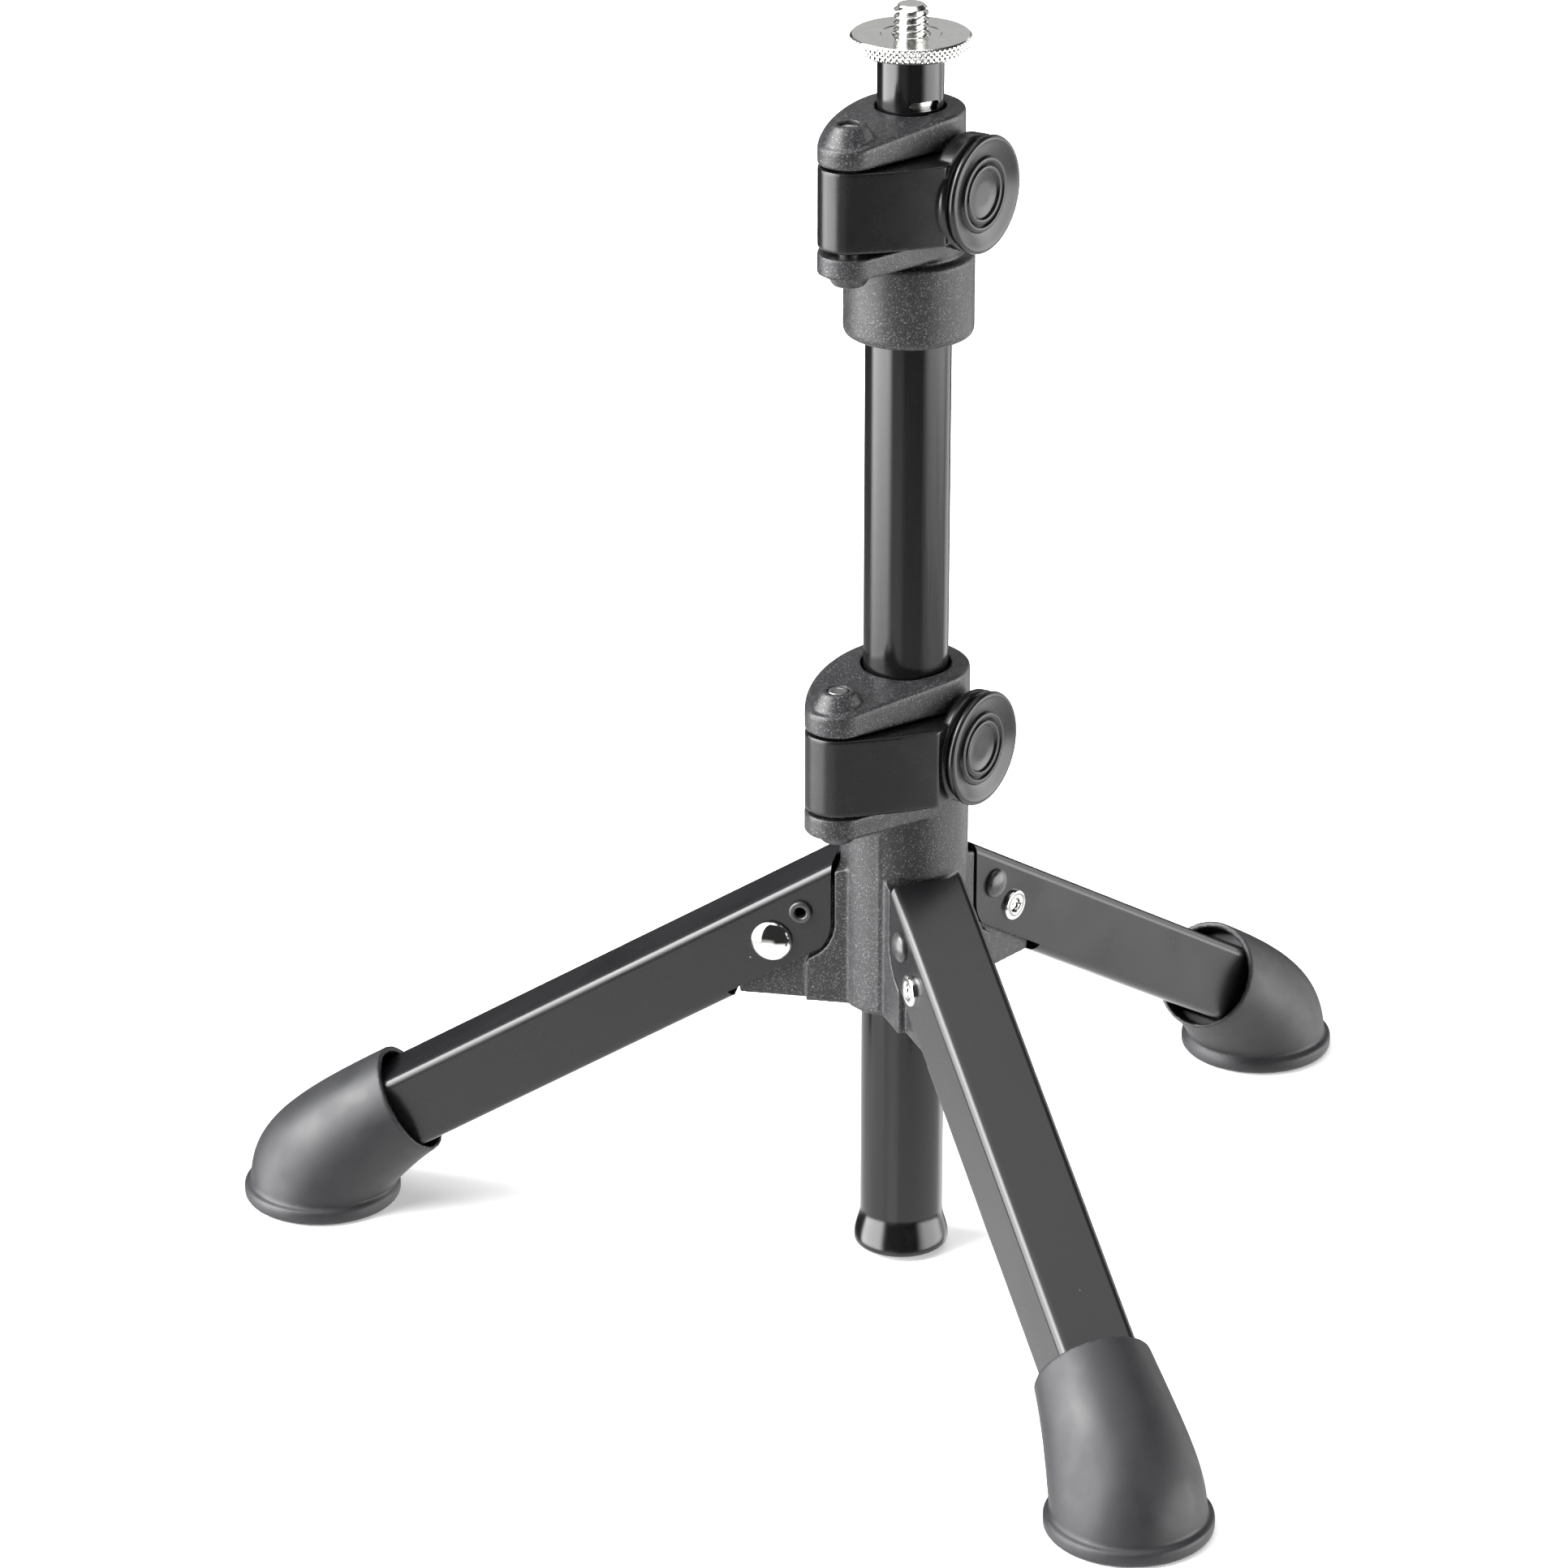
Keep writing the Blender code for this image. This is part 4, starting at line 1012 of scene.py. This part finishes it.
def bezier(points, t):
    s = 1 - t
    a, b, c, d = points
    return s * s * s * a + 3 * s * s * t * b + 3 * s * t * t * c + t * t * t * d


def make_boot():
    """Rubber boot that bends from the leg's slope to a round flat sole."""
    along = Vector((math.cos(LEG_SLOPE), 0.0, -math.sin(LEG_SLOPE)))
    up = Vector((math.sin(LEG_SLOPE), 0.0, math.cos(LEG_SLOPE)))
    sole = Vector((FOOT_X, 0.0, SOLE_H - 0.4 * MM))
    ankle = Vector((ANKLE_R, 0.0, 0.0))
    top = MOUTH + MOUTH_R * up
    under = MOUTH - MOUTH_R * up
    front = sole + ankle
    heel = sole - ankle
    bend = top + along * ((front.x - top.x) / along.x)
    toe_curve = (top, top.lerp(bend, TOE_FULLNESS), front.lerp(bend, TOE_FULLNESS), front)
    heel_bend = under.lerp(heel, 0.5) + 0.8 * MM * up
    heel_curve = (under, under.lerp(heel_bend, HEEL_FULLNESS),
                  heel.lerp(heel_bend, HEEL_FULLNESS), heel)
    steps, sides = 36, 96
    rings = []
    for i in range(steps + 1):
        t = i / steps
        upper = bezier(toe_curve, t)
        lower = bezier(heel_curve, t)
        reach = (upper - lower) / 2
        half_width = MOUTH_R + (ANKLE_R - MOUTH_R) * math.sin(math.pi / 2 * t)
        side = Vector((0.0, half_width, 0.0))
        rings.append([
            (upper + lower) / 2 + reach * math.cos(2 * math.pi * k / sides)
            + side * math.sin(2 * math.pi * k / sides)
            for k in range(sides)
        ])
    boot = solid(rings)
    disc = turned([(SOLE_R - 0.6 * MM, 0.0), (SOLE_R, 0.6 * MM), (SOLE_R, SOLE_H - 0.7 * MM),
                   (SOLE_R - 0.25 * MM, SOLE_H - 0.2 * MM), (SOLE_R - 0.8 * MM, SOLE_H)])
    join(boot, move(disc, Matrix.Translation((FOOT_X, 0, 0))))
    mouth_x = (leg_tilt().inverted() @ MOUTH).x
    centre_z = LEG_H / 2 - LEG_UNDER_PIVOT
    to_leg = Matrix.Translation((0, 0, centre_z)) @ Matrix.Rotation(math.pi / 2, 4, "Y")
    start = mouth_x - 3 * MM
    bore = turned([(MOUTH_BORE_R, start), (MOUTH_BORE_R, mouth_x + 5 * MM)], 96)
    pocket = rounded_rectangle(LEG_W / 2 + HOLE_GAP, -LEG_UNDER_PIVOT - HOLE_GAP,
                               LEG_H - LEG_UNDER_PIVOT + HOLE_GAP, LEG_CORNER)
    cut(boot, move(bore, leg_tilt() @ to_leg),
        move(bar(pocket, start, LEG_END + HOLE_GAP), leg_tilt()))
    return moulded(boot, 0.36 * MM, 5)


# ---------------------------------------------------------------- putting it together

def build_stand():
    moulding, satin = grained_moulding(), satin_moulding()
    enamel, coat, rubber = gloss_enamel(), powder_coat(), boot_rubber()
    plate, chrome = bright_plate(), polished_chrome()
    steel, oxide, nylon = ground_steel(), black_oxide(), plain_nylon()

    settle(make_hub(), "hub_moulding", "base", "hub", moulding)
    settle(make_upper_body(), "upper_clamp_moulding", "mast", "upper_clamp_body", moulding)
    settle(make_main_tube(), "mast_tube", "mast", "main_tube", enamel)
    settle(make_inner_tube(), "stem_tube", "stem", "inner_tube", enamel)
    settle(make_stud(), "stud_with_thread", "stem", "threaded_stud", plate)
    settle(make_nut(), "nut_with_knurl", "nut", "knurled_nut", plate)

    for which, clamp in CLAMPS.items():
        lever_body = which + "_lever"
        pin_body = "base" if which == "lower" else "mast"
        settle(make_lever(clamp), which + "_lever_moulding", lever_body, which + "_lever",
               satin)
        settle(make_cap(clamp), which + "_thumb_cap", lever_body, which + "_thumb_disc",
               satin)
        settle(make_hinge_pin(clamp), which + "_hinge_rod", pin_body, which + "_hinge_pin",
               steel)

    patterns = (
        (make_leg(), "leg_tube_", "leg_", "satin_black", coat),
        (make_rivet(PIVOT, PIVOT_RIVET), "pivot_rivet_", "leg_pivot_", "chrome", chrome),
        (make_rivet(STOP_PIN, STOP_RIVET), "stop_rivet_", "stop_pin_", "black_steel", oxide),
        (make_boot(), "boot_", "foot_", "rubber", rubber),
    )
    for pattern, name, node, slot, look in patterns:
        for side in LEGS:
            settle(copy_of(pattern), name + side, "leg_" + side, node + side, look,
                   spin_z(leg_azimuth(side)))
        bpy.data.objects.remove(pattern, do_unlink=True)

    for node in ("mast_sleeve", "stem_guide_ring", "inner_tube_bush", "lower_clamp_shoe",
                 "upper_clamp_shoe"):
        kept = frame["nodes"][node]
        kept.data.materials.clear()
        kept.data.materials.append(nylon)


# ---------------------------------------------------------------- floor, light and camera

def make_floor():
    floor = solid([ring_of(6.0, z, 96) for z in (-0.02, -0.0002)])
    floor.name = "floor"
    made, nodes, shader, where = new_look("pale_floor", ior=1.3)
    cloud = nodes.noise(where, 3.0, 3.0, 0.5)
    nodes.feed(shader.inputs["Base Color"], nodes.blend(cloud, grey(0.90), grey(0.93)))
    nodes.feed(shader.inputs["Roughness"], nodes.spread(cloud, 0.3, 0.7, 0.8, 0.9))
    shader.inputs["Emission Color"].default_value = grey(1.0)
    shader.inputs["Emission Strength"].default_value = FLOOR_GLOW
    floor.data.materials.append(made)
    floor.visible_glossy = False


def panel(nodes, across, height, azimuth, half, soft, low, high, strength):
    """Light from a soft-edged panel: how bright the surroundings are towards it."""
    angle = math.radians(azimuth)
    toward = nodes.tree.nodes.new("ShaderNodeVectorMath")
    toward.operation = "DOT_PRODUCT"
    nodes.feed(toward.inputs[0], across)
    nodes.feed(toward.inputs[1], (math.cos(angle), math.sin(angle), 0.0))
    outer = math.cos(math.radians(half + soft))
    inner = math.cos(math.radians(max(half - soft, 0.0)))
    sideways = nodes.spread(toward.outputs["Value"], outer, inner, 0.0, strength, "SMOOTHSTEP")
    above = nodes.spread(height, low - 0.05, low + 0.05, 0.0, 1.0, "SMOOTHSTEP")
    below = nodes.spread(height, high - 0.08, high + 0.08, 1.0, 0.0, "SMOOTHSTEP")
    return nodes.math("MULTIPLY", sideways, nodes.math("MULTIPLY", above, below))


def make_world():
    """A dim studio with a white table below, soft panels around and a pale backdrop."""
    world = bpy.data.worlds.new("studio")
    world.use_nodes = True
    bpy.context.scene.world = world
    tree = world.node_tree
    tree.nodes.clear()
    nodes = Nodes(tree)
    way = tree.nodes.new("ShaderNodeTexCoord").outputs["Generated"]
    parts = nodes.add("ShaderNodeSeparateXYZ", vector=way)
    flat = nodes.add("ShaderNodeCombineXYZ", x=parts.outputs[0], y=parts.outputs[1])
    unit = tree.nodes.new("ShaderNodeVectorMath")
    unit.operation = "NORMALIZE"
    nodes.feed(unit.inputs[0], flat.outputs[0])
    across, height = unit.outputs[0], parts.outputs[2]
    # azimuth, half width and softness in degrees, then low edge, high edge and strength
    panels = (
        (172, 30, 8, -0.36, 0.85, 10.0),
        (168, 22, 12, 0.45, 0.80, 9.0),
        (-28, 30, 15, -0.33, 0.30, 6.3),
        (26, 10, 8, -0.45, 0.30, 1.6),
        (-137, 12, 8, -0.60, -0.28, 0.6),
        (69, 35, 12, 0.22, 0.55, 0.6),
    )
    table = nodes.spread(height, -0.49, -0.335, 1.5, 0.03, "SMOOTHSTEP")
    overhead = nodes.spread(height, 0.84, 0.92, 0.0, 1.8, "SMOOTHSTEP")
    light = nodes.math("ADD", table, overhead)
    for given in panels:
        light = nodes.math("ADD", light, panel(nodes, across, height, *given))
    sight = tree.nodes.new("ShaderNodeLightPath").outputs["Is Camera Ray"]
    colour = nodes.blend(sight, nodes.add("ShaderNodeCombineColor", red=light, green=light,
                                          blue=light).outputs[0], grey(0.93))
    background = nodes.add("ShaderNodeBackground", color=colour)
    output = tree.nodes.new("ShaderNodeOutputWorld")
    tree.links.new(background.outputs[0], output.inputs[0])


def make_lamp():
    """Overhead fill for the floor and its soft shadows."""
    lamp = bpy.data.lights.new("overhead", "AREA")
    lamp.shape = "DISK"
    lamp.size = 1.6
    lamp.energy = LAMP_POWER
    made = bpy.data.objects.new("overhead", lamp)
    bpy.context.scene.collection.objects.link(made)
    made.location = MAST + Vector((0.0, 0.0, LAMP_HEIGHT))
    made.visible_glossy = False


def make_camera():
    data = bpy.data.cameras.new("camera")
    data.lens = CAMERA_LENS
    data.sensor_width = 36.0
    data.clip_start = 0.01
    made = bpy.data.objects.new("camera", data)
    bpy.context.scene.collection.objects.link(made)
    right = Vector((math.cos(CAMERA_RIGHT), math.sin(CAMERA_RIGHT), 0.0))
    place = MAST + CAMERA_PLACE
    aim = MAST + Vector((0.0, 0.0, CAMERA_AIM_HEIGHT)) * MM - CAMERA_AIM_LEFT * MM * right
    made.location = place
    made.rotation_euler = (aim - place).to_track_quat("-Z", "Y").to_euler()
    bpy.context.scene.camera = made


build_stand()
make_floor()
make_world()
make_lamp()
make_camera()
bpy.context.scene.view_settings.view_transform = "Standard"
